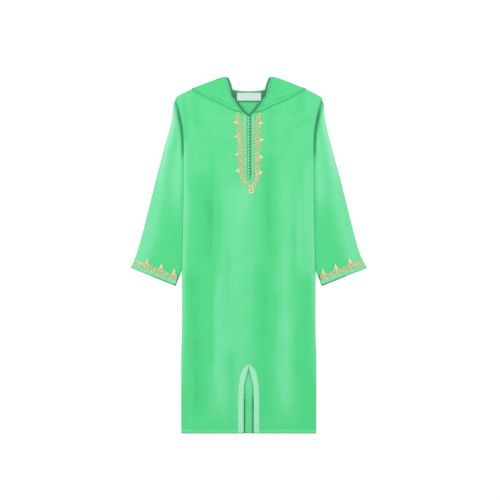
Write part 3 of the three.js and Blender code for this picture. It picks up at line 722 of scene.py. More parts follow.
def backPaintedShade(x, y):
    # painted shadow beside the slit's edges and behind the neck, and a painted highlight under the buttons
    # with a painted shadow line beside
    reach = np.abs(x)
    slitHalf = straight(hemSlit, y)
    inSlit = (slitHalf - reach) / slitHalf
    upper = smooth(y, -440, -375)
    lipShade = (0.48 - 0.38 * upper) * (1 - smooth(inSlit, 0.1, 0.5)) * (1 - smooth(y, -345, -325))
    tone = 0.44 + (0.06 + 0.16 * upper) * (inSlit > 0) - lipShade
    neckShadow = blend(0.02, 0.27, smooth(straight(neckOpening, y) - reach, 0, 15))
    tone = np.where(y > 395, neckShadow, tone)
    underButtons = smooth(y, 214, 222) * (1 - smooth(y, 392, 400)) * (1 - smooth(reach, 9, 12))
    return blend(tone, blend(0.95, 0.4, smooth(x, 3.2, 4.6)), underButtons)


def backPanel():
    # the back as a wall over its underside, whole in the middle
    heights = np.linspace(hemY, neckPoint, panelGrid["backRows"])
    x, y = panelPlan(backEdge, heights, panelGrid["backColumns"], noSlit)
    under = backUnder(x, y)
    points, faces = wall(grid(x, y, under + cloth), grid(x, y, under))
    return makePiece("back", points, faces, mint, fold=bothFaces(backPaintedShade(x, y)))


front = frontPanel()
back = backPanel()
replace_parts(front, "front_panel")
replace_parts(back, "back_panel")
print("front and back done")

# sleeves
sleeveFolds = [
    {"across": 0.16, "width": 0.13, "rise": 2.2},
    {"across": 0.62, "width": 0.16, "rise": 1.3},
]
sleeveGrid = {"rows": 120, "over": 56, "under": 24, "turn": 5, "edge": 0.012, "inset": 0.0095}
# faint waves along the sleeve: seed, waves across, spacing along in mm, and rise
sleeveWaves = [(11, 7, 60, 0.25), (14, 15, 24, 0.15)]


def sleeveRing(column, fromHem):
    # one column of the sleeve's rings, as a smooth curve of the way up from the cuff's hem
    return along(list(zip(sleeveRings["fromHem"], sleeveRings[column])), fromHem)


def sleevePlan(side, fromHem, across):
    # a plan point on the sleeve: across runs from its outer edge at 0 to its inner edge at 1
    outX = sleeveRing("outX", fromHem) - (sleeveRing("rightBy", fromHem) if side > 0 else 0)
    x = side * blend(outX, sleeveRing("inX", fromHem), across)
    return x, blend(sleeveRing("outY", fromHem), sleeveRing("inY", fromHem), across)


def sleeveTop(side, fromHem, across):
    # height of the sleeve's upper side: two ridges along it, flat where the body lies on it
    x, y = sleevePlan(side, fromHem, across)
    clear = smooth(np.abs(x) - along(bodySide, y), 6, 34)
    ridges = sum(f["rise"] * hump(across, f["across"], f["width"]) for f in sleeveFolds)
    edge = smooth(across, 0, 0.05) * (1 - smooth(across, 0.95, 1))
    wavy = 0
    for seed, waves, long, rise in sleeveWaves:
        wavy = wavy + rise * unevenWaves(seed + side, across * waves, fromHem / long)
    return underLayer + clear * (ridges + edge * wavy)


def sleevePaintedShade(fromHem, across, fromBody, y):
    # painted highlight in two bands up the sleeve, paler towards the shoulder, and painted shadow where the
    # body lies over it and along the cuff's hem
    upper = smooth(fromHem + 60 * (across - 0.5), 150, 330)
    outerLight = blend(0.3, 0.42, upper) * hump(across, blend(0.1, 0.06, upper), blend(0.22, 0.12, upper))
    innerLight = 0.25 * upper * hump(across, 0.56, 0.24)
    shadowBesideBody = 0.2 * (1 - smooth(fromBody, 0, 3)) + 0.2 * (1 - smooth(fromBody, 4, 15)) * smooth(y, 60, 200)
    # painted shadow in the gap under the body's edge at the armhole
    gap = (1 - smooth(fromBody, 4, 12)) * smooth(y, 255, 310) * blend(1, 0.8, smooth(y, 370, 440))
    tone = blend(blend(0.38, 0.47, upper) + outerLight + innerLight - shadowBesideBody, 0.04, 0.9 * gap)
    cuffEdgeShadow = 0.3 * (1 - smooth(fromHem, 1.8, 3.2)) * smooth(across, 0.3, 0.6)
    cuffInsideShade = 0.08 * smooth(across, 0.84, 0.98) * (1 - smooth(fromHem, 60, 120))
    return tone - cuffEdgeShadow - cuffInsideShade - 0.3 * smooth(across, 0.95, 0.97) * (1 - smooth(fromHem, 20, 38))


def sleeve(name):
    # a flat tube: over from the outer to the inner edge, round, back underneath, and round again
    side, n, edge = sideSigns[name], sleeveGrid, sleeveGrid["edge"]
    fromHem = np.linspace(0, sleeveRings["fromHem"][-1], n["rows"])[:, None]
    over = np.linspace(edge, 1 - edge, n["over"])[None]
    under = np.linspace(1 - edge, edge, n["under"])[None]
    turn = np.linspace(0, math.pi, n["turn"] + 2)[None, 1:-1]

    def ringOf(layer):
        # layer 0 is the outside of the cloth and layer 1 its inside
        low, inset = cloth * layer, n["inset"] * layer

        def placed(share):
            return sleevePlan(side, fromHem, blend(inset, 1 - inset, share))

        def bend(share, sign):
            high = sleeveTop(side, fromHem, share) - low
            z = low + (high - low) * (1 + sign * np.cos(turn)) / 2
            return grid(*placed(share + sign * edge * np.sin(turn)), z)

        top = grid(*placed(over), sleeveTop(side, fromHem, over) - low)
        return np.concatenate([top, bend(1 - edge, 1), grid(*placed(under), low), bend(edge, -1)], 1)

    outer, inner = ringOf(0), ringOf(1)
    points, faces = wall(outer, inner, around=True)
    across = np.concatenate([over, np.full((1, n["turn"]), 1), under, np.full((1, n["turn"]), 0)], 1)
    y = outer[..., 1]
    tone = sleevePaintedShade(fromHem, across, outer[..., 0] * side - along(bodySide, y), y)
    piece = makePiece("sleeve" + name.title(), points, faces, mint, fold=bothFaces(tone))
    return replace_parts(piece, "sleeve_" + name)


sleeveLeft = sleeve("left")
sleeveRight = sleeve("right")
print("sleeves done")

# hood: plan points along the neck seam and the shoulder fold, and up the edge round the face
neckSeam = [
    (-159, 482.4), (-150, 476.4), (-122.5, 459.5), (-88.9, 443.5),
    (-60.8, 431), (-44.2, 422), (-30, 417.6), (-15.5, 416.5),
]  # fmt: skip
shoulderFold = [
    (-166, 487.6), (-154, 490.8), (-133.6, 498.8), (-101.5, 511.1),
    (-83.9, 517.5), (-69.3, 520.8), (-61.5, 519.5),
]  # fmt: skip
faceEdge = [
    (-15.5, 416.5), (-25.7, 429.8), (-36.6, 443.8), (-41, 453.2),
    (-45.9, 467.8), (-52.3, 497.1), (-57.3, 510.5), (-61.5, 519.5),
]  # fmt: skip
# (way up from the neck seam, height) of the roll beside the seam
seamRoll = [(0, 0), (3.5, 1.3), (7.5, 2.2), (12, 1.3), (17, 0.2), (27, 0.9), (60, 0)]
hoodBase = {"front": frontTop + seam + 0.1, "back": backTop + seam + 0.1}
layerStep = 3  # how far the lower layer behind the back reaches past the upper one
rollReach = 75  # the way up a full side of the hood, which shorter parts near the shoulder borrow
hoodGrid = {"across": 96, "up": 60, "turn": 9, "down": 44, "clear": 5}


def lineAt(rows, share):
    # a smooth plan curve through the rows, read by share of its length
    rows = np.array(rows, float)
    key = lengthAlong(rows)
    fine = np.linspace(0, key[-1], 400)
    line = np.stack([along(np.stack([key, column], 1), fine) for column in rows.T], 1)
    length = lengthAlong(line)
    at = np.asarray(share) * length[-1]
    return np.stack([np.interp(at, length, column) for column in line.T], -1)


def hoodSpan(toFace):
    # the plan points on the neck seam and on the shoulder fold, and the way between them
    low, fold = lineAt(neckSeam, toFace), lineAt(shoulderFold, toFace)
    return low, fold, np.linalg.norm(fold - low, axis=-1)


def seamDistance(length, share):
    # the way up from the neck seam, as on a side at least rollReach long
    return share * np.maximum(length, rollReach)


def hoodAt(toFace, share):
    # straight from the neck seam to the shoulder fold, and bowed like the face edge the nearer it is to it.
    # toFace is (n, 1) and share, the way up, is (n, m).
    low, fold, length = hoodSpan(toFace)
    ends = lineAt(faceEdge, np.array([0.0, 1.0]))
    chord = blend(ends[0], ends[1], share[..., None])
    bow = lineAt(faceEdge, share) - chord
    plan = blend(low, fold, share[..., None]) + bow * toFace[..., None] ** 2
    x, y = plan[..., 0], plan[..., 1]
    drop = smooth(y - straight(frontEdge, np.abs(x)), 3, 16)
    base = blend(hoodBase["front"], hoodBase["back"], drop)
    roll = along(seamRoll, seamDistance(length, share)) * np.minimum(1, 0.35 + length / rollReach)
    return x, y, base + roll + 1.3 * smooth(toFace, 0.8, 1) + cloth


# the turned-in edge of the mouth, its width from the V's point to the tip, and where painted shadow darkens
# the hood's edge
mouth = {
    "widths": [(0, 4.8), (0.2, 5.2), (0.42, 4.8), (0.6, 1.4), (1, 1)],
    "clear": 0.25,
    "thick": 0.5,
    "edge": 0.955,
}
hoodReach = 158  # how far out the hood's outer corner lies behind the back
hiddenTone = 0.42
# bands of painted shade and highlight across the hood
hoodPaintedBands = [(0, 5, -0.1), (11, 4, 0.07), (20, 4.5, -0.18), (30, 12, 0.04)]  # mm from the seam, width, tone


def hoodPaintedShade(toFace, fromSeam, share):
    # painted shadow in the seam and in the crease above the roll, painted highlight on the roll and towards
    # the fold
    tone = 0.41 + sum(amount * hump(fromSeam, at, width) for at, width, amount in hoodPaintedBands)
    tone = tone - 0.07 * hump(toFace, 0.78, 0.09) * smooth(share, 0.2, 0.6)
    # painted shadow along the mouth's edge
    edge = smooth(toFace, mouth["edge"] - 0.008, mouth["edge"]) * smooth(share, 0.33, 0.5)
    return blend(tone, 0.03, edge)


def mouthFacing():
    # the turned-in edge that shows inside the V and the hood's mouth, from the V's point to the fold's tip,
    # in painted shadow
    share = np.linspace(0.002, 1, 130)
    line = lineAt([(0, neckPoint), (-8, 410.3), *faceEdge], share)
    ahead = unit(np.gradient(line, axis=0))
    inward = np.stack([ahead[:, 1], -ahead[:, 0]], 1)
    v = np.linspace(0, 1, 7)[None]
    out = mouth["clear"] + along(mouth["widths"], share)[:, None] * v
    x = np.minimum(line[:, :1] + inward[:, :1] * out, -0.2)
    y = line[:, 1:] + inward[:, 1:] * out
    lift = 0.8 * smooth(share, 0.25, 0.5)[:, None] * (1 - v)
    z = backTop + seam + mouth["thick"] + 0.15 + lift
    points, faces = wall(grid(x, y, z), grid(x, y, z - mouth["thick"]))
    return points, faces, bothFaces(np.broadcast_to(0.02 + 0.12 * v**2, x.shape))


def hoodSide(name):
    # up from the neck seam, over the shoulder, round the fold, and down behind the back to its stepped edge
    n = hoodGrid
    toFace = np.linspace(0, 1, n["across"])[:, None]
    length = hoodSpan(toFace)[2]
    topX, topY, topZ = hoodAt(toFace, np.ones_like(toFace))
    radius = topZ / 2
    share = np.maximum(0.6, 1 - radius / length) * np.linspace(0, 1, n["up"])[None] ** 0.9
    x, y, z = hoodAt(toFace, share)
    fromSeam = seamDistance(length, share)
    upper = grid(x, y, z - 0.85 * cloth * (1 - smooth(fromSeam, 0, 4)))
    near, step = np.minimum(toFace, 0.97), 0.01
    tangent = unit(lineAt(shoulderFold, near + step) - lineAt(shoulderFold, near - step))
    out = np.concatenate([-tangent[..., 1:], tangent[..., :1]], -1)
    angle = math.pi * np.linspace(0, 1, n["turn"] + 1)[None, 1:]

    def turned(r):
        away = r * np.sin(angle) - radius
        return grid(topX + out[..., 0] * away, topY + out[..., 1] * away, radius + r * np.cos(angle))

    folded = grid(topX - out[..., 0] * radius, topY - out[..., 1] * radius, 0)
    reach = blend(hoodReach, 1, toFace)
    end = grid(-reach, along(hoodEdge, reach), 0)
    outer = [upper, turned(radius), *hanging(folded, end, 0)]
    inner = [grid(x, y, z - cloth), turned(radius - cloth), *hanging(folded, end, underLayer)]
    outer, inner = np.concatenate(outer, 1), np.concatenate(inner, 1)
    shade = np.full(outer.shape[:2], hiddenTone)
    shade[:, : n["up"]] = hoodPaintedShade(toFace, fromSeam, share)
    points, faces, fold = joined([(*wall(outer, inner), bothFaces(shade)), mouthFacing()])
    points = points * [-sideSigns[name], 1, 1]
    piece = makePiece("hood" + name.title(), points, faces, mint, fold=fold)
    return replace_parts(piece, "hood_" + name)


def hanging(fold, end, height):
    # the hood's two layers behind the back: flat runs to an edge where the lower layer reaches further out
    step = unit(fold - end) * layerStep
    run = blend(fold, end, np.linspace(0, 1, hoodGrid["down"])[None, 1 : -hoodGrid["clear"], None])
    run = grid(run[..., 0], run[..., 1], height)

    def past(steps, z):
        return grid(end[..., 0] + steps * step[..., 0], end[..., 1] + steps * step[..., 1], z)

    if height:
        return run, past(1, height), past(1, height / 2), past(0, height / 2)
    return run, past(2, 0), past(0.6, 0), past(0, 0)


middlePanel = {"half": 50, "endHalf": 4.4, "endY": 250, "columns": 41, "strip": 12, "turn": 8}
backFold = [(0, 478.7), (20, 479.3), (35, 481.2), (45, 483.8), (50, 485)]


def hoodMiddle():
    # up from the back of the neck, over a small fold, and down behind the back to the hood's point
    strips = middlePanel["strip"]
    share = np.linspace(-1, 1, middlePanel["columns"])[:, None]
    x = share * middlePanel["half"]
    radius = backTop / 2
    gap = (backRise - underLayer) / 2
    start = straight(backEdge, np.abs(x)) + seam
    bend = straight(backFold, np.abs(x)) - radius
    up = np.linspace(0, 1, strips)[None]
    strip = blend(start, bend, up)
    angle = math.pi * np.linspace(0, 1, middlePanel["turn"] + 1)[None, 1:-1]

    def turned(r, z):
        return grid(x, bend + r * np.sin(angle), z + r * np.cos(angle))

    fold = grid(x, bend, 0)
    end = grid(share * middlePanel["endHalf"], middlePanel["endY"], 0)
    outer = [grid(x, strip, backTop), turned(radius, radius), fold, *hanging(fold, end, 0)]
    inner = [grid(x, strip, backRise), turned(gap, underLayer + gap), grid(x, bend, underLayer)]
    outer, inner = np.concatenate(outer, 1), np.concatenate([*inner, *hanging(fold, end, underLayer)], 1)
    shade = np.full(outer.shape[:2], hiddenTone)
    # painted shadow inside the back of the neck, and painted shade on the small fold
    shade[:, :strips] = 0.25 * smooth(up, 0.95, 1)
    shade[:, strips : strips + 5] = 0.36
    points, faces = wall(outer, inner)
    piece = makePiece("hoodMiddle", points, faces, mint, fold=bothFaces(shade))
    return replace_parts(piece, "hood_middle")


hoodLeft = hoodSide("left")
hoodRight = hoodSide("right")
hoodBack = hoodMiddle()
print("hood done")

# braid, in strips whose strands stand up from a rounded crown
strandPitch, strandSlant = 2.2, 7


def strandRise(length, across, low, high):
    # a crown that falls off at both edges, with strands on it: a sine of the length, slanting from the middle
    crown = 1 - 0.75 * np.abs(2 * across - 1) ** 5
    strand = np.abs(np.sin(math.pi * (length + strandSlant * np.abs(across - 0.5)) / strandPitch))
    return trimThick * (low + high * strand) * crown


def braidPiece(name, node, material, x, y, base, rise, length, across):
    # a closed strip with a flat base, and its length and the share across it as its uv
    points, faces = wall(grid(x, y, base + rise), grid(x, y, base))
    piece = makePiece(name, points, faces, material, uv=bothFaces(length, across))
    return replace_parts(piece, node)


def braidStrip(name, nearEdge, farEdge, node, material, columns=15):
    # a strip on the front between two edge lines, with a fine raised rim along each
    v = np.linspace(0, 1, columns)[None]
    plan = blend(nearEdge[:, None], farEdge[:, None], v[..., None])
    x, y = plan[..., 0], plan[..., 1]
    length = lengthAlong(plan[:, columns // 2])[:, None]
    rim = 0.1 * trimThick * (hump(v, 0.06, 0.05) + hump(v, 0.94, 0.05))
    rise = strandRise(length, v, 0.62, 0.22) + rim
    braidPiece(name, node, material, x, y, frontTopAt(x, y) + seam, rise, length, v)


placketBraid = {
    "step": 0.7,
    "top": 408,
    "clear": 2.4,
    "left": {
        "inner": -4.4, "point": 0,
        "outer": [(223, -10), (234, -13), (263, -14.2), (307, -16.8), (411, -17.3)],
    },
    "right": {
        "inner": 7.2, "point": 7,
        "outer": [(223, 13.5), (240, 17), (263, 17.4), (330, 16.6), (411, 18)],
    },
}  # fmt: skip


def placketBraids():
    # each strip runs from its slanting foot up to the V, with the same number of even steps along both edges
    row, bottom = placketBraid, placket["bottomY"]
    for name in sideSigns:
        strip = row[name]
        foot = bottom - strip["point"]
        steps = math.ceil((row["top"] - foot) / row["step"])
        nearTop = min(row["top"], straight(frontEdge, abs(strip["inner"])) - row["clear"])
        farY = np.linspace(bottom, row["top"], steps)
        nearEdge = np.stack([np.full(steps, strip["inner"]), np.linspace(foot, nearTop, steps)], 1)
        farEdge = np.stack([along(strip["outer"], farY), farY], 1)
        node = "placket_braid_" + name
        braidStrip("placketBraid" + name.title(), nearEdge, farEdge, node, cords["placketBraidCord"])


# the braid round the hem slit: height, inner edge and outer edge
hemArch = [
    (-519.5, 14.6, 31.2), (-470, 14.6, 31.2), (-424, 14.6, 31.2), (-401, 14.2, 30.8), (-383, 13.3, 29.3),
    (-374, 12, 28.2), (-365, 10, 26.8), (-356.7, 7.6, 25.3), (-348, 4.8, 23.5), (-340, 2.8, 21.3),
    (-333, 1.8, 18.6), (-325, 0.4, 10), (-318, 0.4, 3.2),
]  # fmt: skip


def hemBraids():
    # one strip on each side of the slit, from the hem up to the point where the two meet
    rows = np.array(hemArch)
    y = np.arange(rows[0, 0], rows[-1, 0], 0.7)
    inner, outer = along(rows[:, :2], y), along(rows[:, ::2], y)
    for name, side in sideSigns.items():
        nearEdge, farEdge = np.stack([side * inner, y], 1), np.stack([side * outer, y], 1)
        node = "hem_braid_" + name
        braidStrip("hemBraid" + name.title(), nearEdge, farEdge, node, cords["paleBraid"], columns=17)


# where the cuff's trim begins and ends across the sleeve, and the cuff's width
cuffBand = {"from": 0.012, "to": 0.985, "width": 141}
cuffBraid = {"low": 1, "hemShows": 1.6, "high": 13.5, "steps": 190, "columns": 15}


def cuffBraids():
    # round the cuff's upper side, where the hem shows under it towards the body
    row = cuffBraid
    across = np.linspace(cuffBand["from"], cuffBand["to"], row["steps"])[:, None]
    v = np.linspace(0, 1, row["columns"])[None]
    fromHem = blend(row["low"] + row["hemShows"] * smooth(across, 0.3, 0.6), row["high"], v)
    length = across * cuffBand["width"]
    rise = strandRise(length, v, 0.65, 0.22)
    cord = cords["cuffBraidCord"]
    for name, side in sideSigns.items():
        x, y = sleevePlan(side, fromHem, across)
        base = sleeveTop(side, fromHem, across) + seam
        node = "cuff_braid_" + name
        braidPiece("cuffBraid" + name.title(), node, cord, x, y, base, rise, length, v)


hoodBraid = {"from": 0.935, "to": 0.994, "inset": 0.038, "length": 112, "rows": 150, "columns": 13}


def hoodBraids():
    # the strip that edges the hood's mouth, on the hood's own surface. Above the V it clears the turned edge.
    row = hoodBraid
    share = np.linspace(0.04, 0.97, row["rows"])[None]
    v = np.linspace(0, 1, row["columns"])[:, None]
    inset = row["inset"] * smooth(share, 0.25, 0.5)
    x, y, z = hoodAt(blend(row["from"], row["to"], v) - inset, share + 0 * v)
    length = share * row["length"]
    rise = strandRise(length, v, 0.6, 0.2)
    cord = cords["mouthBraidCord"]
    for name, side in sideSigns.items():
        node = "hood_braid_" + name
        braidPiece("hoodBraid" + name.title(), node, cord, -side * x, y, z + seam, rise, length, v)


placketBraids()
hemBraids()
cuffBraids()
hoodBraids()
print("braid done")

# gold embroidery: (height, x, half width) along each arm's middle line, and where its leaves stand
goldArms = {
    "left": {
        "rows": [
            (198.6, 6.5, 4), (202.5, -0.5, 5.2), (209, -8.5, 6), (219, -15, 6), (234, -20, 6.3),
            (263, -21.6, 6.6), (307, -24, 6.4), (380, -26.6, 6.6), (408, -30, 5.8), (416.5, -33, 3.4),
        ],
        "spikes": [246.2, 294.5, 346, 388.6],
    },
    "right": {
        "rows": [
            (195.6, 11, 3.6), (202, 14, 4.6), (213, 19.6, 5), (225, 24, 5), (263, 25.4, 5.8),
            (330, 25.8, 7.2), (380, 26, 6.6), (405, 29.4, 5.6), (415.5, 32.4, 3.6),
        ],
        "spikes": [240.6, 285.7, 337.1, 385.4],
    },
}  # fmt: skip
# a leaf is four cords, one inside the other, each with its share of the width, half thickness and height
goldWork = {
    "cord": 0.72, "twist": 3.4, "scallop": 1.3, "ring": 2.5, "ringPitch": 6.2, "thread": 0.45,
    "stitchPitch": 2.3, "stitchShare": 0.62,
    "leafCords": [(1.0, 0.7, 0.7), (0.66, 0.65, 0.9), (0.34, 0.65, 1.1), (0.08, 0.6, 1.2)],
}  # fmt: skip
goldLift = 0.15
neckLeaf = (13.4, 4.6, 0.0)  # how far it stands out, its half width, and how far its tip leans


def twistedCord(place, s, v, phase):
    # two strands that wind round a line in band coordinates: s along the band, v out from its middle
    radius = goldWork["cord"]
    turn = 2 * math.pi * s / goldWork["twist"] + phase + np.array([0, math.pi])[:, None]
    apart = 0.5 * radius
    x, y, z = place(s, v + apart * np.cos(turn))
    return tubes(grid(x, y, z + radius + apart * np.sin(turn)), 0.58 * radius)


def embroider(place, length, halfAt, spikes, seed):
    # all the threads of one band: two scalloped edge cords, slanted stitches between them, a row of rings,
    # small loops along the outer cord, and pointed leaves that stand out from it
    chance = np.random.default_rng(seed)
    w = goldWork
    parts = []

    def addThreads(s, v, lift, radius=w["thread"], closedPath=False):
        x, y, z = place(s, v)
        parts.append(tubes(grid(x, y, z + lift), radius, closedPath=closedPath))

    s = np.arange(0, length, 0.55)
    for share in (-0.8, 0.8):
        phase = chance.uniform(0, 6)
        scallop = w["scallop"] * np.sin(2 * math.pi * s / w["ringPitch"] + phase)
        scallop = scallop * (1 + 0.4 * np.sin(s / 7 + phase))
        parts.append(twistedCord(place, s, share * halfAt(s) + scallop, phase))

    start = np.arange(0.8, length - 0.8, w["stitchPitch"])[:, None]
    start = start[chance.uniform(0, 1, len(start)) < w["stitchShare"]]
    start = start + chance.uniform(-0.6, 0.6, start.shape)
    t = np.linspace(-1, 1, 7)[None]
    slant = np.where(np.arange(len(start)) % 2, 1, -1)[:, None] * chance.uniform(0.3, 1.1, start.shape)
    addThreads(start + slant * t, 0.74 * halfAt(start) * t, 0.3 + 0.45 * (1 - t**2))

    centre = np.arange(2.2, length - 2, w["ringPitch"])[:, None]
    around = np.linspace(0, 2 * math.pi, 13)[None, :-1]
    size = w["ring"] * chance.uniform(0.85, 1.1, centre.shape)
    offset = chance.uniform(-0.5, 0.5, centre.shape)
    addThreads(centre + size * np.cos(around), offset + size * np.sin(around), 1.0, 0.6, closedPath=True)

    half = np.linspace(-0.5, 3.64, 11)[None]
    size = chance.uniform(1.3, 2.3, centre.shape)
    for sign, reach in ((1, 1.0), (-1, 0.55)):
        edge = sign * (halfAt(centre) * 0.9 + reach * size * np.sin(half))
        addThreads(centre + size * np.cos(half), edge, 0.5)

    t = np.linspace(-1, 1, 25)[None]
    tip = 1 - np.abs(t)
    leaf = t * (1 - tip**2.2) / np.maximum(np.abs(t), 0.3) ** 0.35
    for at, long, wide, lean in spikes:
        out = halfAt(at) * 0.8
        for part, radius, lift in w["leafCords"]:
            v = out + (0.75 + 0.25 * part) * long * tip
            addThreads(at + part * wide * leaf + lean * tip, v, lift, radius)
        for side in (-1, 1):
            foot = at + side * wide * 1.25
            addThreads(foot + 1.5 * np.cos(around), out + 2.6 + 1.5 * np.sin(around), 0.6, closedPath=True)
    return parts


def neckEmbroidery(name):
    # the band follows an arm's own middle line, and v counts outwards from it, away from the buttons
    arm, side = goldArms[name], sideSigns[name]
    rows = np.array(arm["rows"], float)
    y = np.linspace(rows[0, 0], rows[-1, 0], 300)
    x = along(rows[:, :2], y)
    length = lengthAlong(np.stack([x, y], 1))
    ahead = unit(np.stack([np.gradient(x), np.gradient(y)], 1))
    halfY = along(rows[:, ::2], y) * np.maximum(ahead[:, 1], 0.62)
    halfY = halfY * (1 + 0.12 * np.sin(length / 3.7 + side) + 0.08 * np.sin(length / 9.1))

    def place(s, v):
        px, py, ax, ay = (np.interp(s, length, c) for c in (x, y, ahead[:, 0], ahead[:, 1]))
        atX, atY = px + v * side * ay, py - v * side * ax
        return atX, atY, frontTopAt(atX, atY) + goldLift

    spikes = [(np.interp(at, y, length), *neckLeaf) for at in arm["spikes"]]
    parts = embroider(place, length[-1], lambda s: np.interp(s, length, halfY), spikes, 21 + side)
    piece = threadPiece("neckEmbroidery" + name.title(), parts, goldThread)
    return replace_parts(piece, "neck_embroidery_" + name)


# each ring of cord has its radius, its half thickness and its height over the cloth
rosette = {
    "x": 7.9, "y": 187, "inner": 3.8, "outer": 7.6, "spokes": 28,
    "rings": [(7.4, 0.75, 0.8), (5.7, 0.65, 1.1), (4.1, 0.6, 0.8)],
}  # fmt: skip


def neckRosette():
    # three rings of cord around an open middle, with short straight threads across them
    row = rosette
    parts = []

    def addThreads(radius, angle, lift, thick, **options):
        x, y = row["x"] + radius * np.cos(angle), row["y"] + radius * np.sin(angle)
        parts.append(tubes(grid(x, y, frontTopAt(x, y) + lift), thick, **options))

    for radius, thick, lift in row["rings"]:
        addThreads(radius, np.linspace(0, 2 * math.pi, 41)[None, :-1], lift, thick, sides=6, closedPath=True)
    spokes = np.linspace(0, 2 * math.pi, row["spokes"] + 1)[:-1, None]
    addThreads(np.linspace(row["inner"], row["outer"], 5)[None], spokes, 1.2, goldWork["thread"])
    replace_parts(threadPiece("neckRosette", parts, goldThread), "neck_rosette")


# the cuff's band, and its flames: where each stands across the sleeve, how far out, half width and lean
cuffGold = {
    "middle": 18.7,
    "half": 4.6,
    "flames": [(0.28, 19, 7, -6), (0.605, 20, 7, -6), (0.89, 21, 6.6, -6)],
}


def cuffEmbroidery(name):
    # the band lies beside the cuff braid, and v counts up the sleeve from its middle
    row, side = cuffGold, sideSigns[name]
    begin, width = cuffBand["from"], cuffBand["width"]

    def place(s, v):
        across, fromHem = begin + s / width, row["middle"] + v
        x, y = sleevePlan(side, fromHem, across)
        return x, y, sleeveTop(side, fromHem, across) + goldLift

    flames = [((at - begin) * width, *rest) for at, *rest in row["flames"]]
    length = width * (cuffBand["to"] - begin)
    parts = embroider(place, length, lambda s: row["half"] + 0 * s, flames, 31 + side)
    piece = threadPiece("cuffEmbroidery" + name.title(), parts, goldThread)
    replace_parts(piece, "cuff_embroidery_" + name)


for name in sideSigns:
    neckEmbroidery(name)
neckRosette()
for name in sideSigns:
    cuffEmbroidery(name)
print("embroidery done")

# knotted buttons and their loops
buttons = {
    "count": 20, "topY": 398.5, "pitch": 8.88, "radius": 3.1, "loop": 0.7,
    "around": 22, "up": 13, "pole": 0.06,
}  # fmt: skip
buttonY = buttons["topY"] - np.arange(buttons["count"]) * buttons["pitch"]


def buttonLoops():
    # a loop from the right braid round each ball
    turn = np.linspace(-0.62, 0.62, 15) * math.pi
    reach = buttons["radius"] + 0.5
    x = np.concatenate([[8.6, 5.6], 0.4 - 0.82 * reach * np.cos(turn), [5.6, 8.6]])
    y = buttonY[:, None] + np.concatenate([[-0.9, -1.3], reach * np.sin(turn), [1.3, 0.9]])
    z = frontTopAt(0 * x, y) + 0.75 + 0.12 * np.abs(x - 1)
    threadPiece("buttonLoops", [tubes(grid(x, y, z), buttons["loop"])], cords["loopCord"])


def knottedButtons():
    # each ball is a sphere whose surface rises where strands cross it both ways, with a short stem
    row, n = buttons, buttons["around"]
    around = np.arange(n) * 2 * math.pi / n
    tilt = np.linspace(row["pole"], math.pi - row["pole"], row["up"])[:, None]
    strands = np.maximum(np.abs(np.sin(2 * around + 2 * tilt)), np.abs(np.sin(2 * around - 2 * tilt)))
    reach = row["radius"] * (0.84 + 0.16 * strands)
    out = reach * np.sin(tilt)
    ball = grid(reach * np.cos(tilt), out * np.cos(around), out * np.sin(around))
    centre = grid(0, buttonY, frontTopAt(0 * buttonY, buttonY) + seam + row["radius"])
    points = ball + centre[:, None, None]
    pairs = np.arange(1, n // 2)
    cap = np.stack([pairs - 1, pairs, n - 1 - pairs, n - pairs], 1)
    first = np.arange(row["count"])[:, None, None] * row["up"] * n
    last = first + (row["up"] - 1) * n
    caps = [(first + cap[:, ::-1]).reshape(-1, 4), (last + cap).reshape(-1, 4)]
    faces = np.concatenate([ringFaces(row["count"], row["up"], n, row["up"] - 1), *caps])
    u, v = np.meshgrid(np.arange(n) * 0.9, np.linspace(0, 1, row["up"]))
    uv = np.tile(np.stack([u, v], -1).reshape(-1, 2), (row["count"], 1))
    stemX, stemY = np.linspace(-7, -2.2, 4), buttonY[:, None]
    stems = tubes(grid(stemX, stemY, frontTopAt(stemX, stemY) + 1.5), 0.8)
    parts = [(points.reshape(-1, 3), faces, uv), stems]
    piece = threadPiece("knottedButtons", parts, cords["buttonCord"])
    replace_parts(piece, *["button_%02d" % (i + 1) for i in range(row["count"])])


buttonLoops()
knottedButtons()
print("buttons done")

# label
label = {
    "left": -34.2, "right": 36, "low": 450.3, "high": 474, "thick": 0.5,
    "curl": 0.35, "curlWidth": 5, "turned": 0.25, "stitchPitch": 2.3, "stitchIn": 1.2,
}  # fmt: skip


def neckLabel():
    # a soft satin tab with a faint curl at its ends, a turned edge along the top and two rows of stitches
    x = np.linspace(label["left"], label["right"], 60)[None]
    y = np.linspace(label["low"], label["high"], 26)[:, None]
    fromEnd = np.minimum(x - label["left"], label["right"] - x)
    curl = label["curl"] * (1 - smooth(fromEnd, 0, label["curlWidth"]))
    turned = label["turned"] * smooth(y, label["high"] - 3.2, label["high"] - 2.6)
    high = backTop + seam + label["thick"] + curl + turned + 0.12 * np.sin(x / 9) * np.sin(y / 5)
    points, faces = wall(grid(x, y, high), grid(x, y, high - label["thick"]))
    piece = makePiece("neckLabel", points, faces, cords["labelSatin"], uv=bothFaces(x, y))
    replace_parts(piece, "neck_label")
    x = np.arange(label["left"] + 1.5, label["right"] - 1.5, label["stitchPitch"])[:, None]
    x = x + np.linspace(-0.8, 0.8, 4)
    z = backTop + seam + 1.05
    lines = (label["high"] - label["stitchIn"], label["low"] + label["stitchIn"])
    parts = [tubes(grid(x, y, z), 0.22) for y in lines]
    threadPiece("labelStitches", parts, cords["sewingThread"])


neckLabel()
print("label done")

# stitching
stitch = {"share": 0.68, "rise": 0.22, "thick": 0.2, "hemPitch": 3.0, "sidePitch": 3.4, "braidPitch": 2.6}


def stitchLine(line, pitch):
    # dashes along a plan line that rise out of the cloth and dip back into it
    length = lengthAlong(line)
    t = np.linspace(0, 1, 5)[None]
    s = np.arange(0, length[-1] - pitch, pitch)[:, None] + t * pitch * stitch["share"]
    x, y = np.interp(s, length, line[:, 0]), np.interp(s, length, line[:, 1])
    return tubes(grid(x, y, frontTopAt(x, y) + 0.02 + stitch["rise"] * np.sin(math.pi * t)), stitch["thick"])


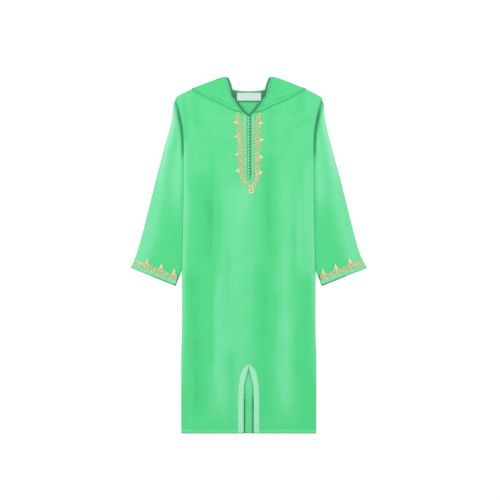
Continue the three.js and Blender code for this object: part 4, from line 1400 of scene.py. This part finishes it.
def frontStitches():
    # along the hem on both sides of the slit's braid, beside the side seams, and round that braid
    x = np.linspace(-194, 194, 160)
    hemLine = np.stack([x, np.full_like(x, hemY + hemTurn)], 1)
    parts = [stitchLine(hemLine[beside], stitch["hemPitch"]) for beside in (x < -33, x > 33)]
    y = np.linspace(-500, 430, 300)
    sideLine = np.stack([along(bodySide, y) - 5.5, y], 1)
    braidLine = np.array(hemArch)[:, ::-2] + [1.3, 0]
    for side in sideSigns.values():
        parts.append(stitchLine(sideLine * [side, 1], stitch["sidePitch"]))
        parts.append(stitchLine(braidLine * [side, 1], stitch["braidPitch"]))
    threadPiece("frontStitches", parts, cords["sewingThread"])


frontStitches()
print("stitching done")

# floor and light
floorSize = {"half": 12000, "colour": (0.9, 0.9, 0.9)}


def floor():
    # a pale slab whose top lies just under the part
    half = floorSize["half"]
    side = np.linspace(-half, half, 3)
    x, y = np.meshgrid(side, side)
    points, faces = wall(grid(x, y, -0.4), grid(x, y, -20.0))
    material, tree, shader = newMaterial("paleFloor", 0.8, specular=0.2)
    place = addNode(tree, "ShaderNodeTexCoord").outputs["Object"]
    noise = noiseValue(tree, place, 3.0, 2.0)
    colour = floorSize["colour"]
    tree.links.new(colourMix(tree, noise, colour, [c * 0.985 for c in colour]), shader.inputs["Base Color"])
    mesh = bpy.data.meshes.new("floor")
    mesh.from_pydata((points * mm).tolist(), [], faces.tolist())
    mesh.materials.append(material)
    plane = bpy.data.objects.new("floor", mesh)
    bpy.context.collection.objects.link(plane)


lights = [
    {"name": "overhead", "at": (-0.5, 1.2, 3.2), "size": 2.6, "power": 62},
    {"name": "leftFill", "at": (-2.6, -0.6, 2.0), "size": 2.2, "power": 16},
    {"name": "rightFill", "at": (2.6, 0.4, 2.0), "size": 2.2, "power": 12},
]
roomLight = 0.75


def studio():
    # soft lamps that face the middle of the floor, in a white room
    for row in lights:
        data = bpy.data.lights.new(row["name"], "AREA")
        data.size = row["size"]
        data.energy = row["power"]
        lamp = bpy.data.objects.new(row["name"], data)
        lamp.location = row["at"]
        aim = -np.array(row["at"])
        yaw = math.atan2(aim[1], aim[0]) - math.pi / 2
        pitch = math.pi / 2 + math.atan2(aim[2], math.hypot(aim[0], aim[1]))
        lamp.rotation_euler = (pitch, 0, yaw)
        bpy.context.collection.objects.link(lamp)
    world = bpy.data.worlds.new("softRoom")
    world.use_nodes = True
    sky = world.node_tree.nodes["Background"]
    sky.inputs["Color"].default_value = (1, 1, 1, 1)
    sky.inputs["Strength"].default_value = roomLight
    bpy.context.scene.world = world
    bpy.context.scene.view_settings.view_transform = "Standard"


floor()
studio()
print("floor and lights done")
